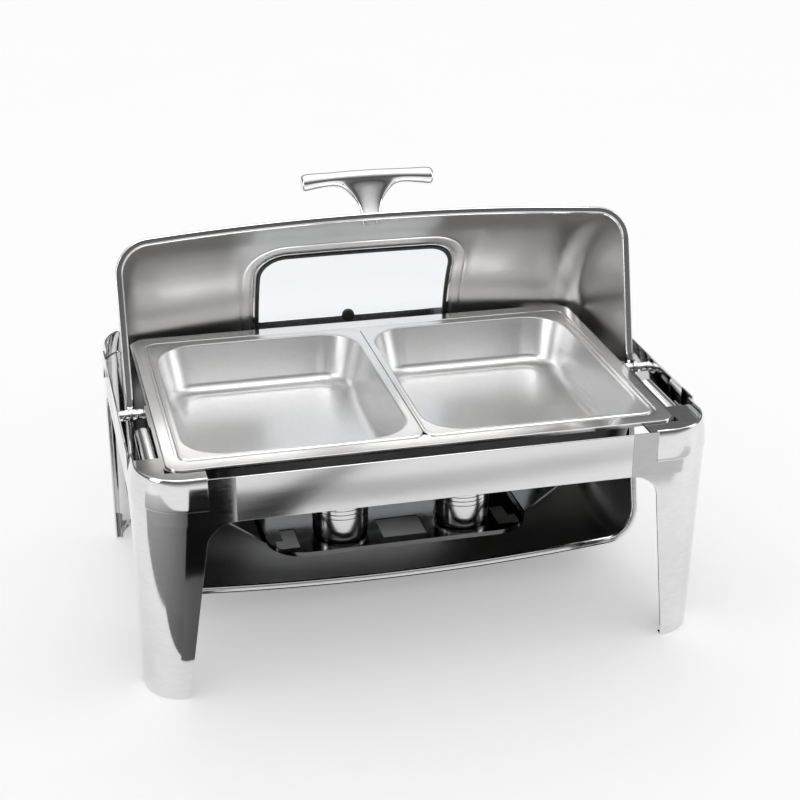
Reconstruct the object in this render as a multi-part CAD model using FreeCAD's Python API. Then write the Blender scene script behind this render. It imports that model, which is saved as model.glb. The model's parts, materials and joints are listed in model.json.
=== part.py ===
import FreeCAD, Part
import math
import os

# Roll top chafer: a stand on four curved sheet legs, a water pan with two half-size food pans,
# a fuel tray with two burners, and a rolling lid that turns about two side pins.
# Millimetres. +X is the viewer's right, +Y is the back, +Z is up.
# The origin is on the floor, under the middle of the stand. The lid is drawn open.

# ---------------------------------------------------------------- driving dimensions

STAND_HALF_X = 317.0
STAND_HALF_Y = 222.5
STAND_TOP = 267.0
STAND_CORNER = 55.0
BAND_HEIGHT = 51.0
REAR_BAND_DROP = 10.0
SHEET = 2.0

FRONT_JOINT_X = 215.0
SIDE_JOINT_Y = 115.0
FOOT_HALF_X = 316.0
FOOT_HALF_Y = 210.0
FOOT_CORNER = 45.0
LEG_KNEE_RADIUS = 30.0
LEG_INNER_X = 247.0
LEG_INNER_Y = 147.0
FOOT_LIP = 9.0
FOOT_LIP_GAP = 0.5
CUT_MARGIN = 10.0

JOINT_PLATE_HALF = 14.0
JOINT_PLATE_WALL = 1.5
JOINT_PLATE_Z = (222.0, 244.0)
SCREW_RADIUS = 2.0
SCREW_HEAD = 2.0

COLLAR_PROUD = 1.2
COLLAR_BOTTOM = 232.0
COLLAR_SHOULDER = 250.0
COLLAR_LEAN = 3.0
COLLAR_WALL = 3.2
COLLAR_FRONT_X = 243.0
COLLAR_SIDE_Y = 143.0

PIVOT_Y = -11.0
PIVOT_Z = 250.0
PIN_RADIUS = 4.0
PIN_RUNNING_CLEARANCE = 0.05
SPACER_RADIUS = 6.0
LUG_RADIUS = 9.0
LUG_INNER_X = 298.5
LUG_OUTER_X = 301.5
BRACKET_WALL = 3.0
BRACKET_THINNED = 1.5
RUNNING_GAP = 0.3

LID_OPEN_ANGLE = 105.0
LID_RIM_Z = 260.0
LID_WALL = 1.0
LID_HALF_X = 296.0
LID_RADIUS = 208.5
LID_CROWN = 9.0
LID_CROWN_AT_X = 240.0
LID_CORNER = 34.0
LID_FLANGE = 7.5
LID_SECTORS = 8
RIM_WIRE = 2.5

WINDOW_HALF_X = 122.5
WINDOW_FROM_ANGLE = 38.0
WINDOW_TO_ANGLE = 104.0
WINDOW_CORNER = 33.0
WINDOW_MIDDLE_ANGLE = 0.5 * (WINDOW_FROM_ANGLE + WINDOW_TO_ANGLE)
WINDOW_HALF_CHORD = LID_RADIUS * math.sin(math.radians(WINDOW_TO_ANGLE - WINDOW_MIDDLE_ANGLE))
GASKET_WIDTH = 3.0
WINDOW_TRIM_WIDTH = 4.5
GLASS_THICKNESS = 3.0
GASKET_PROUD = 0.8
WINDOW_TRIM_WALL = 1.2

HANDLE_ANGLE = 12.0
HANDLE_REACH = 62.0
HANDLE_HALF_SPAN = 80.0
HANDLE_BAR_RADIUS = 9.0
HANDLE_STEM_HALF = 13.0
HANDLE_DROOP = 5.0
HANDLE_SCREW_X = 8.0
HANDLE_SCREW_LENGTH = 14.0
HANDLE_SCREW_HEAD = 2.4
HANDLE_SEAT_GAP = 0.2
HANDLE_THICKNESS = 13.0
HANDLE_NECK = 16.0
HANDLE_FLARE = 31.0

DECK_TOP = 259.4
DECK = 2.0
DECK_EDGE = 3.8
CARRIER_HALF_X = 282.5
CARRIER_HALF_Y = 184.0
CARRIER_OPENING_X = 262.0
CARRIER_OPENING_Y = 159.5
CARRIER_CORNER = 16.0
DECK_FRONT_X = 241.0
ARM_FRONT_Y = -146.0
ARM_BACK_Y = -68.0
ARM_RADIUS = 9.0
ARM_WALL = 1.5

WATER_RIM_X = 280.0
WATER_RIM_Y = 184.0
WATER_RIM_CORNER = 18.0
WATER_OPENING_X = 258.0
WATER_OPENING_Y = 155.0
WATER_DEPTH = 70.0
FOOD_RIM_X = 132.5
FOOD_RIM_Y = 162.5
FOOD_DEPTH = 60.0
PAN_SHEET = 1.0
PAN_FOOT = 12.0
PAN_DRAFT = 9.0
FOOT_STEPS = 4
CORNER_TAPER = 0.6
WATER_MOUTH_CORNER = 48.0
FOOD_RIM_CORNER = 14.0
FOOD_MOUTH_CORNER = 47.0
FOOD_LEDGE_X = 9.5
FOOD_LEDGE_Y = 10.5
FOOD_GAP = 0.4

TRAY_FLOOR = 86.0
TRAY_SHEET = 1.5
TRAY_HALF_X = 157.0
TRAY_FRONT_Y = -83.0
TRAY_BACK_Y = 61.0
TRAY_CORNER = 45.0
TRAY_LIP = 4.0
TRAY_ARM_FRONT_Y = -40.0
TRAY_ARM_BACK_Y = 18.0
TRAY_ARM_X = 268.0
TRAY_ARM_KNEE_Z = 169.0
TRAY_OPENINGS_X = [(-146.0, -120.0), (-21.0, 31.0), (120.0, 146.0)]
TRAY_OPENING_Y = (-62.0, -16.0)
TRAY_SCREW_INSET = 12.0
TRAY_SCREW_DROP = 14.0
TRAY_ARM_LAP = 20.0

BURNER_XY = [("left", -67.0, -34.0), ("right", 80.0, -34.0)]
BURNER_RADIUS = 33.0
BURNER_CUP_HEIGHT = 37.0
BURNER_CAP_HEIGHT = 22.0
BURNER_MOUTH = 17.0
BURNER_WALL = 1.2
BURNER_FOOT = 5.0
BURNER_FLOOR = 2.0
BURNER_FIT = 0.3
CAP_PLUG = 8.0
SHUTTER_SHEET = 1.2
SHUTTER_LAP = 2.0
SHUTTER_PIVOT_INSET = 8.0
SHUTTER_EAR = 5.0
SHUTTER_TAB_HALF = 4.0
SHUTTER_TAB_REACH = 4.0
RIVET_RADIUS = 2.0
RIVET_HEAD = 3.6

BUMPER_RADIUS = 8.0
BUMPER_ROUND = 2.2
BUMPER_INSIDE = 3.5
BUMPER_OUTSIDE = 1.0

V = FreeCAD.Vector
X_AXIS = V(1, 0, 0)
BAND_BOTTOM = STAND_TOP - BAND_HEIGHT
SHUTTER_Z = TRAY_FLOOR + BURNER_CUP_HEIGHT + BURNER_CAP_HEIGHT + 2 * BURNER_FIT


# ---------------------------------------------------------------- small helpers

def box(x0, x1, y0, y1, z0, z1):
    return Part.makeBox(x1 - x0, y1 - y0, z1 - z0, V(x0, y0, z0))


def rod(start, end, radius):
    along = end - start
    return Part.makeCylinder(radius, along.Length, start, along)


def prism(points, along):
    """A closed polygon of points, pushed along a vector."""
    return Part.Face(Part.makePolygon(points + points[:1])).extrude(along)


def arc(centre, radius, z, degrees):
    """The edge of a level arc through three angles."""
    at = [V(centre[0] + radius * math.cos(math.radians(a)),
            centre[1] + radius * math.sin(math.radians(a)), z) for a in degrees]
    return Part.Arc(*at).toShape()


def line(a, b):
    return Part.LineSegment(a, b).toShape()


def rounded_rectangle(half_x, half_y, corner, z, centre=(0.0, 0.0)):
    """A level closed wire, four straight sides and four round corners."""
    cx, cy = centre
    edges = []
    previous = None
    for quadrant, (sx, sy) in enumerate([(1, 1), (-1, 1), (-1, -1), (1, -1)]):
        middle = (cx + sx * (half_x - corner), cy + sy * (half_y - corner))
        start = 90.0 * quadrant
        bend = arc(middle, corner, z, [start, start + 45, start + 90])
        if previous is not None:
            edges.append(line(previous, bend.valueAt(bend.FirstParameter)))
        edges.append(bend)
        previous = bend.valueAt(bend.LastParameter)
    edges.append(line(previous, edges[0].valueAt(edges[0].FirstParameter)))
    return Part.Wire(edges)


def rounded_prism(half_x, half_y, corner, z0, z1, centre=(0.0, 0.0)):
    wire = rounded_rectangle(half_x, half_y, corner, z0, centre)
    return Part.Face(wire).extrude(V(0, 0, z1 - z0))


def loft(wires):
    return Part.makeLoft(wires, True, True)


def split(shape, regions):
    """A compound of the shape's stretches, one for each region that it passes through."""
    pieces = []
    for region in regions:
        pieces += shape.common(region).Solids
    return Part.makeCompound(pieces)


def corner_section(half_x, half_y, corner, wall, z, front_x, side_y):
    """The level section of a sheet bent round the corner at +X +Y."""
    middle = (half_x - corner, half_y - corner)
    outer = arc(middle, corner, z, [0, 45, 90])
    inner = arc(middle, corner - wall, z, [90, 45, 0])
    points = [V(half_x, side_y, z), V(half_x, middle[1], z), V(middle[0], half_y, z),
              V(front_x, half_y, z), V(front_x, half_y - wall, z),
              V(middle[0], half_y - wall, z), V(half_x - wall, middle[1], z),
              V(half_x - wall, side_y, z)]
    return Part.Wire([line(points[0], points[1]), outer, line(points[2], points[3]),
                      line(points[3], points[4]), line(points[4], points[5]), inner,
                      line(points[6], points[7]), line(points[7], points[0])])


def mirrored(shape, flip_x, flip_y):
    """A copy of a +X +Y shape in another quadrant."""
    copy = shape.copy()
    if flip_x:
        copy = copy.mirror(V(0, 0, 0), V(1, 0, 0))
    if flip_y:
        copy = copy.mirror(V(0, 0, 0), V(0, 1, 0))
    return copy


QUADRANTS = [("front_left", True, True), ("front_right", False, True),
             ("rear_left", True, False), ("rear_right", False, False)]
SIDES = [("left", -1.0), ("right", 1.0)]


# ---------------------------------------------------------------- stand

def knee_cutter(inner_top, inner_foot, joint):
    """The outline, in a vertical plane, of what is cut away beside a leg."""
    knee_z = BAND_BOTTOM - LEG_KNEE_RADIUS
    middle = inner_top - LEG_KNEE_RADIUS
    half = LEG_KNEE_RADIUS * math.sqrt(0.5)
    below = -CUT_MARGIN
    past = joint - CUT_MARGIN
    points = [(past, below), (inner_foot, below), (inner_top, knee_z),
              (middle + half, knee_z + half), (middle, BAND_BOTTOM), (past, BAND_BOTTOM)]
    return points


def cut_face(points, place):
    """The cutting outline as a face, its points put in place by a function."""
    a, b, c, d, e, f = [place(u, z) for u, z in points]
    return Part.Face(Part.Wire([line(a, b), line(b, c), Part.Arc(c, d, e).toShape(),
                                line(e, f), line(f, a)]))


def leg():
    """One curved corner leg at +X +Y, with its band-high shoulders and its foot lip."""
    level = BAND_BOTTOM
    top = corner_section(STAND_HALF_X, STAND_HALF_Y, STAND_CORNER, SHEET, level,
                         FRONT_JOINT_X, SIDE_JOINT_Y)
    foot = corner_section(FOOT_HALF_X, FOOT_HALF_Y, FOOT_CORNER, SHEET, 0.0,
                          FRONT_JOINT_X, SIDE_JOINT_Y)
    shoulder = Part.Face(top).extrude(V(0, 0, BAND_HEIGHT))
    sheet = loft([foot, top]).fuse(shoulder)
    front = knee_cutter(LEG_INNER_X, FOOT_HALF_X - FOOT_CORNER, FRONT_JOINT_X)
    side = knee_cutter(LEG_INNER_Y, FOOT_HALF_Y - FOOT_CORNER, SIDE_JOINT_Y)
    deep = STAND_HALF_Y - FOOT_HALF_Y + SHEET + CUT_MARGIN
    front_cut = cut_face(front, lambda u, z: V(u, STAND_HALF_Y - deep, z)).extrude(V(0, 2 * deep, 0))
    side_cut = cut_face(side, lambda u, z: V(STAND_HALF_X - deep, u, z)).extrude(V(2 * deep, 0, 0))
    collar_room = box(COLLAR_FRONT_X, STAND_HALF_X + CUT_MARGIN, COLLAR_SIDE_Y,
                      STAND_HALF_Y + CUT_MARGIN, COLLAR_SHOULDER, STAND_TOP + CUT_MARGIN)
    sheet = sheet.cut(front_cut).cut(side_cut).cut(collar_room)
    middle = (FOOT_HALF_X - FOOT_CORNER, FOOT_HALF_Y - FOOT_CORNER)
    ring = Part.makeCylinder(FOOT_CORNER - FOOT_LIP_GAP, SHEET, V(middle[0], middle[1], 0))
    hole = Part.makeCylinder(FOOT_CORNER - SHEET - FOOT_LIP, SHEET, V(middle[0], middle[1], 0))
    quarter = box(middle[0], FOOT_HALF_X, middle[1], FOOT_HALF_Y, 0, SHEET)
    return sheet.fuse(ring.cut(hole).common(quarter)).removeSplitter()


def collar():
    """The raised band round the top of a corner, leaning in above its shoulder."""
    reach = STAND_CORNER + COLLAR_PROUD
    skirt = corner_section(STAND_HALF_X + COLLAR_PROUD, STAND_HALF_Y + COLLAR_PROUD, reach,
                           COLLAR_PROUD, COLLAR_BOTTOM, COLLAR_FRONT_X, COLLAR_SIDE_Y)
    low = corner_section(STAND_HALF_X + COLLAR_PROUD, STAND_HALF_Y + COLLAR_PROUD, reach,
                         COLLAR_WALL, COLLAR_SHOULDER, COLLAR_FRONT_X, COLLAR_SIDE_Y)
    inset = COLLAR_PROUD - COLLAR_LEAN
    high = corner_section(STAND_HALF_X + inset, STAND_HALF_Y + inset, STAND_CORNER + inset,
                          COLLAR_WALL, STAND_TOP, COLLAR_FRONT_X, COLLAR_SIDE_Y)
    body = Part.Face(skirt).extrude(V(0, 0, COLLAR_SHOULDER - COLLAR_BOTTOM))
    return body.fuse(loft([low, high])).removeSplitter()


def band(front):
    """The flat sheet between two legs' shoulders at the front, or the lower one at the back."""
    top = STAND_TOP if front else STAND_TOP - REAR_BAND_DROP
    y0 = -STAND_HALF_Y if front else STAND_HALF_Y - SHEET
    return box(-FRONT_JOINT_X, FRONT_JOINT_X, y0, y0 + SHEET, BAND_BOTTOM, top)


def rail(side):
    """A side rail; its ends meet the shoulders of two legs."""
    inner = STAND_HALF_X - SHEET
    plate = box(inner, STAND_HALF_X, -SIDE_JOINT_Y, SIDE_JOINT_Y, BAND_BOTTOM, STAND_TOP)
    return plate if side > 0 else plate.mirror(V(0, 0, 0), X_AXIS)


def joint_places():
    """The middle of each sheet joint and the inward direction there."""
    places = []
    for sx in (-1, 1):
        for sy in (-1, 1):
            places.append((V(sx * FRONT_JOINT_X, sy * (STAND_HALF_Y - SHEET), 0), V(0, -sy, 0)))
            places.append((V(sx * (STAND_HALF_X - SHEET), sy * SIDE_JOINT_Y, 0), V(-sx, 0, 0)))
    return places


def joint_plates():
    """The short plates that lap each sheet joint inside the stand."""
    plates = []
    for at, inward in joint_places():
        along = V(abs(inward.y), abs(inward.x), 0) * JOINT_PLATE_HALF
        low = at - along
        high = at + along + inward * JOINT_PLATE_WALL
        plates.append(box(min(low.x, high.x), max(low.x, high.x), min(low.y, high.y),
                          max(low.y, high.y), *JOINT_PLATE_Z))
    return Part.makeCompound(plates)


def joint_screws():
    """Domed screw heads on the inner faces of the joint plates, two to a plate."""
    heads = []
    for at, inward in joint_places():
        along = V(abs(inward.y), abs(inward.x), 0) * (JOINT_PLATE_HALF / 2)
        for step in (-1, 1):
            base = at + along * step + inward * JOINT_PLATE_WALL + V(0, 0, sum(JOINT_PLATE_Z) / 2)
            heads.append(rod(base, base + inward * SCREW_HEAD, 2 * SCREW_RADIUS))
    return Part.makeCompound(heads)


def bumper():
    """A rubber button pushed over the top edge of the rear band."""
    z = STAND_TOP - REAR_BAND_DROP
    inner = STAND_HALF_Y - SHEET - BUMPER_INSIDE
    outer = STAND_HALF_Y + BUMPER_OUTSIDE
    body = rod(V(0, inner, z), V(0, outer, z), BUMPER_RADIUS)
    body = body.makeFillet(BUMPER_ROUND, body.Edges)
    slot = box(-2 * BUMPER_RADIUS, 2 * BUMPER_RADIUS, STAND_HALF_Y - SHEET, STAND_HALF_Y,
               z - 2 * BUMPER_RADIUS, z)
    return body.cut(slot)


# ---------------------------------------------------------------- deck, arms and pivots

def deck_plate(side):
    """The flat plate in a front corner, which the closed lid's rim comes down on."""
    low = DECK_TOP - DECK
    plate = rounded_prism(STAND_HALF_X - DECK_EDGE, STAND_HALF_Y - DECK_EDGE,
                          STAND_CORNER - DECK_EDGE, low, DECK_TOP)
    plate = plate.common(box(DECK_FRONT_X, STAND_HALF_X, -STAND_HALF_Y, ARM_FRONT_Y, low, DECK_TOP))
    plate = plate.cut(box(0, CARRIER_HALF_X, -CARRIER_HALF_Y, 0, low, DECK_TOP))
    return plate if side > 0 else plate.mirror(V(0, 0, 0), X_AXIS)


def carrier():
    """The four flat strips, butt-welded into a frame, that the water pan hangs in."""
    low = DECK_TOP - DECK
    ring = rounded_prism(CARRIER_HALF_X, CARRIER_HALF_Y, CARRIER_CORNER, low, DECK_TOP)
    strips = []
    for sign in (-1, 1):
        y0, y1 = sorted((sign * CARRIER_OPENING_Y, sign * CARRIER_HALF_Y))
        x0, x1 = sorted((sign * CARRIER_OPENING_X, sign * CARRIER_HALF_X))
        strips.append(box(-CARRIER_HALF_X, CARRIER_HALF_X, y0, y1, low, DECK_TOP))
        strips.append(box(x0, x1, -CARRIER_OPENING_Y, CARRIER_OPENING_Y, low, DECK_TOP))
    return split(ring, strips)


def arm(side):
    """The half-round arm from the front corner plate back to the pivot bracket."""
    x = CARRIER_HALF_X + BRACKET_THINNED + ARM_RADIUS
    z = DECK_TOP - ARM_RADIUS
    start = V(x, ARM_FRONT_Y, z)
    end = V(x, ARM_BACK_Y, z)
    tube = rod(start, end, ARM_RADIUS).cut(rod(start, end, ARM_RADIUS - ARM_WALL))
    tube = tube.common(box(x - ARM_RADIUS, x + ARM_RADIUS, ARM_FRONT_Y, ARM_BACK_Y, z, DECK_TOP))
    return tube if side > 0 else tube.mirror(V(0, 0, 0), X_AXIS)


def pivot_bracket(side):
    """The upright plate beside the carrier that holds the inner end of the pin."""
    x = CARRIER_HALF_X
    plate = box(x, x + BRACKET_WALL, ARM_FRONT_Y, PIVOT_Y, PIVOT_Z - LUG_RADIUS, DECK_TOP)
    nose = rod(V(x, PIVOT_Y, PIVOT_Z), V(x + BRACKET_WALL, PIVOT_Y, PIVOT_Z), LUG_RADIUS)
    plate = plate.fuse(nose).removeSplitter()
    plate = plate.cut(rod(V(x, PIVOT_Y, PIVOT_Z), V(x + BRACKET_WALL, PIVOT_Y, PIVOT_Z), PIN_RADIUS))
    room = box(x + BRACKET_THINNED, x + BRACKET_WALL, ARM_FRONT_Y, ARM_BACK_Y, 0, DECK_TOP)
    plate = plate.cut(room)
    return plate if side > 0 else plate.mirror(V(0, 0, 0), X_AXIS)


def pivot_pin(side):
    """The pin between a bracket and its side rail."""
    pin = rod(V(CARRIER_HALF_X, PIVOT_Y, PIVOT_Z), V(STAND_HALF_X - SHEET, PIVOT_Y, PIVOT_Z),
              PIN_RADIUS)
    return pin if side > 0 else pin.mirror(V(0, 0, 0), X_AXIS)


def spacer(side, x0, x1):
    """A sleeve on the pin, beside the lid's lug."""
    body = rod(V(x0, PIVOT_Y, PIVOT_Z), V(x1, PIVOT_Y, PIVOT_Z), SPACER_RADIUS)
    body = body.cut(rod(V(x0, PIVOT_Y, PIVOT_Z), V(x1, PIVOT_Y, PIVOT_Z), PIN_RADIUS))
    return body if side > 0 else body.mirror(V(0, 0, 0), X_AXIS)


# ---------------------------------------------------------------- lid, drawn closed and then opened

def crown_radius():
    """The radius that bows the lid's outline along its length."""
    return (LID_CROWN_AT_X ** 2 + LID_CROWN ** 2) / (2 * LID_CROWN)


def lid_edges(offset, flip):
    """Half of the lid's outline on its rim plane, offset outward; flip picks the front half."""
    sign = -1.0 if flip else 1.0
    crown = crown_radius()
    crown_middle = LID_RADIUS - crown
    corner = LID_CORNER
    corner_x = LID_HALF_X - corner
    corner_r = lid_corner_radius()
    half = math.degrees(math.asin(corner_x / (crown - corner)))

    def at(x, r):
        return V(x, sign * r, LID_RIM_Z)

    def on_crown(x_sign, angle):
        a = math.radians(angle)
        return at(x_sign * (crown + offset) * math.sin(a),
                  crown_middle + (crown + offset) * math.cos(a))

    def on_corner(x_sign, angle):
        a = math.radians(angle)
        return at(x_sign * (corner_x + (corner + offset) * math.sin(a)),
                  corner_r + (corner + offset) * math.cos(a))

    edges = [line(at(LID_HALF_X + offset, 0), at(LID_HALF_X + offset, corner_r))]
    edges.append(Part.Arc(on_corner(1, 90), on_corner(1, 0.5 * (90 + half)),
                          on_corner(1, half)).toShape())
    edges.append(Part.Arc(on_crown(1, half), at(0, LID_RADIUS + offset),
                          on_crown(-1, half)).toShape())
    edges.append(Part.Arc(on_corner(-1, half), on_corner(-1, 0.5 * (90 + half)),
                          on_corner(-1, 90)).toShape())
    edges.append(line(at(-LID_HALF_X - offset, corner_r), at(-LID_HALF_X - offset, 0)))
    return edges


def dome(offset):
    """The solid half barrel above the rim plane, offset from the lid's outer surface."""
    edges = lid_edges(offset, False)
    edges.append(line(V(-LID_HALF_X - offset, 0, LID_RIM_Z), V(LID_HALF_X + offset, 0, LID_RIM_Z)))
    return Part.Face(Part.Wire(edges)).revolve(V(0, 0, LID_RIM_Z), X_AXIS, 180)


def rim_slab(offset, z0, z1):
    """The lid's whole outline, offset outward, as a slab."""
    back = lid_edges(offset, False)
    front = lid_edges(offset, True)
    wire = Part.Wire(Part.__sortEdges__(back + front))
    slab = Part.Face(wire).extrude(V(0, 0, z1 - z0))
    slab.translate(V(0, 0, z0 - LID_RIM_Z))
    return slab


def turned_out(shape, angle):
    """Turn a shape built straight above the lid's axis to an angle from the front rim."""
    copy = shape.copy()
    copy.rotate(V(0, 0, LID_RIM_Z), X_AXIS, 90 - angle)
    return copy


def window_column(grow):
    """A rounded column through the lid at the window, grown by a margin."""
    column = rounded_prism(WINDOW_HALF_X + grow, WINDOW_HALF_CHORD + grow, WINDOW_CORNER + grow,
                           LID_RIM_Z + 0.5 * LID_RADIUS, LID_RIM_Z + 1.5 * LID_RADIUS)
    return turned_out(column, WINDOW_MIDDLE_ANGLE)


def handle_screw_lines():
    """Start and end of each handle screw, built straight above the lid's axis."""
    surface = LID_RIM_Z + LID_RADIUS
    places = []
    for x in (-HANDLE_SCREW_X, HANDLE_SCREW_X):
        places.append((V(x, 0, surface - HANDLE_SCREW_LENGTH), V(x, 0, surface + HANDLE_SCREW_LENGTH)))
    return places


def screw_bores():
    """The bores for the handle's screws, turned to the handle."""
    bores = [rod(a, b, SCREW_RADIUS) for a, b in handle_screw_lines()]
    return turned_out(Part.makeCompound(bores), HANDLE_ANGLE)


def sector(x0, x1, from_angle, to_angle):
    """A wedge round the lid's axis between two lid angles and two places along it."""
    far = 2 * LID_RADIUS
    points = [V(x0, 0, LID_RIM_Z)]
    for angle in (from_angle, to_angle):
        a = math.radians(angle)
        points.append(V(x0, -far * math.cos(a), LID_RIM_Z + far * math.sin(a)))
    return prism(points, V(x1 - x0, 0, 0))


def lid_regions():
    """The end walls, and wedges of the barrel and of its rounded ends."""
    corner_x = LID_HALF_X - LID_CORNER
    bend_x = corner_x + LID_CORNER * math.sqrt(0.5)
    beyond = LID_HALF_X + 2 * LID_FLANGE
    walls = []
    for sign in (-1, 1):
        walls.append(rod(V(sign * bend_x, 0, LID_RIM_Z), V(sign * beyond, 0, LID_RIM_Z),
                         lid_corner_radius()))
    regions = list(walls)
    step = 180.0 / LID_SECTORS
    for index in range(LID_SECTORS):
        angles = (index * step, (index + 1) * step)
        regions.append(sector(-corner_x, corner_x, *angles))
        for x0, x1, wall in ((corner_x, bend_x, None), (bend_x, beyond, walls[1]),
                             (-bend_x, -corner_x, None), (-beyond, -bend_x, walls[0])):
            wedge = sector(x0, x1, *angles)
            regions.append(wedge if wall is None else wedge.cut(wall))
    return regions


def lid_corner_radius():
    """How far from the lid's axis its flat end walls reach."""
    crown = crown_radius()
    reach = math.sqrt((crown - LID_CORNER) ** 2 - (LID_HALF_X - LID_CORNER) ** 2)
    return LID_RADIUS - crown + reach


def lid_shell():
    """The pressed dome with its turned-out flange, in nearly convex stretches."""
    shell = dome(0.0).cut(dome(-LID_WALL))
    flange = rim_slab(LID_FLANGE, LID_RIM_Z, LID_RIM_Z + LID_WALL)
    flange = flange.cut(rim_slab(-LID_WALL, LID_RIM_Z, LID_RIM_Z + LID_WALL))
    shell = shell.fuse(flange).removeSplitter()
    shell = shell.cut(window_column(0.0)).cut(screw_bores())
    return split(shell, lid_regions())


def rim_wire():
    """The rolled edge that stands up round the rim flange."""
    z0 = LID_RIM_Z + LID_WALL
    outer = rim_slab(LID_FLANGE, z0, z0 + RIM_WIRE)
    wire = outer.cut(rim_slab(LID_FLANGE - RIM_WIRE, z0, z0 + RIM_WIRE))
    corner_x = LID_HALF_X - LID_CORNER
    corner_y = lid_corner_radius()
    far = LID_HALF_X + LID_RADIUS
    columns = [(-far, -corner_x), (-corner_x, -corner_x / 3), (-corner_x / 3, corner_x / 3),
               (corner_x / 3, corner_x), (corner_x, far)]
    regions = []
    for x0, x1 in columns:
        for y0, y1 in ((-far, -corner_y), (-corner_y, corner_y), (corner_y, far)):
            regions.append(box(x0, x1, y0, y1, z0, z0 + RIM_WIRE))
    return split(wire, regions)


def window_piece(outer_offset, inner_offset, grow_outer, grow_inner):
    """A curved piece of the barrel between two offsets, cut out by the window's columns."""
    piece = dome(outer_offset).cut(dome(inner_offset)).common(window_column(grow_outer))
    if grow_inner is not None:
        piece = piece.cut(window_column(grow_inner))
    return piece


def handle_bar_path():
    """Three points along the middle of the handle's bar."""
    top = LID_RIM_Z + LID_RADIUS + HANDLE_REACH - HANDLE_BAR_RADIUS
    half = HANDLE_HALF_SPAN - HANDLE_BAR_RADIUS
    return V(-half, 0, top - HANDLE_DROOP), V(0, 0, top), V(half, 0, top - HANDLE_DROOP)


def lid_handle():
    """A cast T handle: an arched bar on a stem that flares into it."""
    left, middle, right = handle_bar_path()
    path = Part.Wire([Part.Arc(left, middle, right).toShape()])
    start = path.Edges[0].tangentAt(path.Edges[0].FirstParameter)
    section = Part.Wire([Part.Circle(left, start, HANDLE_BAR_RADIUS).toShape()])
    bar = path.makePipeShell([section], True, False)
    for end in (left, right):
        bar = bar.fuse(Part.makeSphere(HANDLE_BAR_RADIUS, end))
    foot = LID_RIM_Z + LID_RADIUS + HANDLE_SEAT_GAP
    neck = foot + HANDLE_NECK
    under = middle.z - HANDLE_BAR_RADIUS
    half = HANDLE_STEM_HALF
    wide = half + HANDLE_FLARE
    bend_x = wide - HANDLE_FLARE * math.sqrt(0.5)
    bend_z = neck + (under - neck) * math.sqrt(0.5)

    def at(x, z):
        return V(x, -HANDLE_THICKNESS / 2, z)

    face = Part.Face(Part.Wire([
        line(at(-half, foot), at(half, foot)),
        line(at(half, foot), at(half, neck)),
        Part.Arc(at(half, neck), at(bend_x, bend_z), at(wide, under)).toShape(),
        line(at(wide, under), at(wide, middle.z - HANDLE_DROOP)),
        line(at(wide, middle.z - HANDLE_DROOP), at(-wide, middle.z - HANDLE_DROOP)),
        line(at(-wide, middle.z - HANDLE_DROOP), at(-wide, under)),
        Part.Arc(at(-wide, under), at(-bend_x, bend_z), at(-half, neck)).toShape(),
        line(at(-half, neck), at(-half, foot))]))
    handle = bar.fuse(face.extrude(V(0, HANDLE_THICKNESS, 0))).removeSplitter()
    handle = turned_out(handle, HANDLE_ANGLE).cut(dome(HANDLE_SEAT_GAP))
    return handle.cut(screw_bores())


def handle_screws():
    """Two screws from inside the lid, with their heads against its wall."""
    screws = []
    for start, end in handle_screw_lines():
        seat = LID_RIM_Z + LID_RADIUS - LID_WALL - HANDLE_SEAT_GAP
        shank = rod(V(start.x, 0, seat), end, SCREW_RADIUS)
        head = rod(V(start.x, 0, seat - HANDLE_SCREW_HEAD), V(start.x, 0, seat), 2 * SCREW_RADIUS)
        screws.append(shank.fuse(head).removeSplitter())
    return turned_out(Part.makeCompound(screws), HANDLE_ANGLE)


def lid_lug(side):
    """The hanging plate under the rim flange that turns on the pin."""
    middle = V(LUG_INNER_X, PIVOT_Y, PIVOT_Z)
    beyond = V(LUG_OUTER_X, PIVOT_Y, PIVOT_Z)
    plate = box(LUG_INNER_X, LUG_OUTER_X, PIVOT_Y - LUG_RADIUS, PIVOT_Y + LUG_RADIUS,
                PIVOT_Z, LID_RIM_Z)
    lug = plate.fuse(rod(middle, beyond, LUG_RADIUS)).removeSplitter()
    lug = lug.cut(rod(middle - X_AXIS, beyond + X_AXIS, PIN_RADIUS + PIN_RUNNING_CLEARANCE))
    return lug if side > 0 else lug.mirror(V(0, 0, 0), X_AXIS)


def opened(shape):
    """A copy of a shape drawn on the closed lid, turned to the open lid."""
    copy = shape.copy()
    copy.rotate(V(0, PIVOT_Y, PIVOT_Z), X_AXIS, -LID_OPEN_ANGLE)
    return copy


# ---------------------------------------------------------------- pans

def bowl(half_x, half_y, corner, top, depth, draft, base_radius, centre):
    """A solid tub that tapers by draft to its floor, with a rounded foot."""
    floor = top - depth
    wires = [rounded_rectangle(half_x, half_y, corner, top, centre)]
    for step in range(FOOT_STEPS + 1):
        a = math.radians(90.0 * step / FOOT_STEPS)
        z = floor + base_radius * (1 - math.sin(a))
        inset = draft + base_radius * (1 - math.cos(a))
        wires.append(rounded_rectangle(half_x - inset, half_y - inset,
                                       corner - CORNER_TAPER * inset, z, centre))
    return loft(wires)


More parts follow.
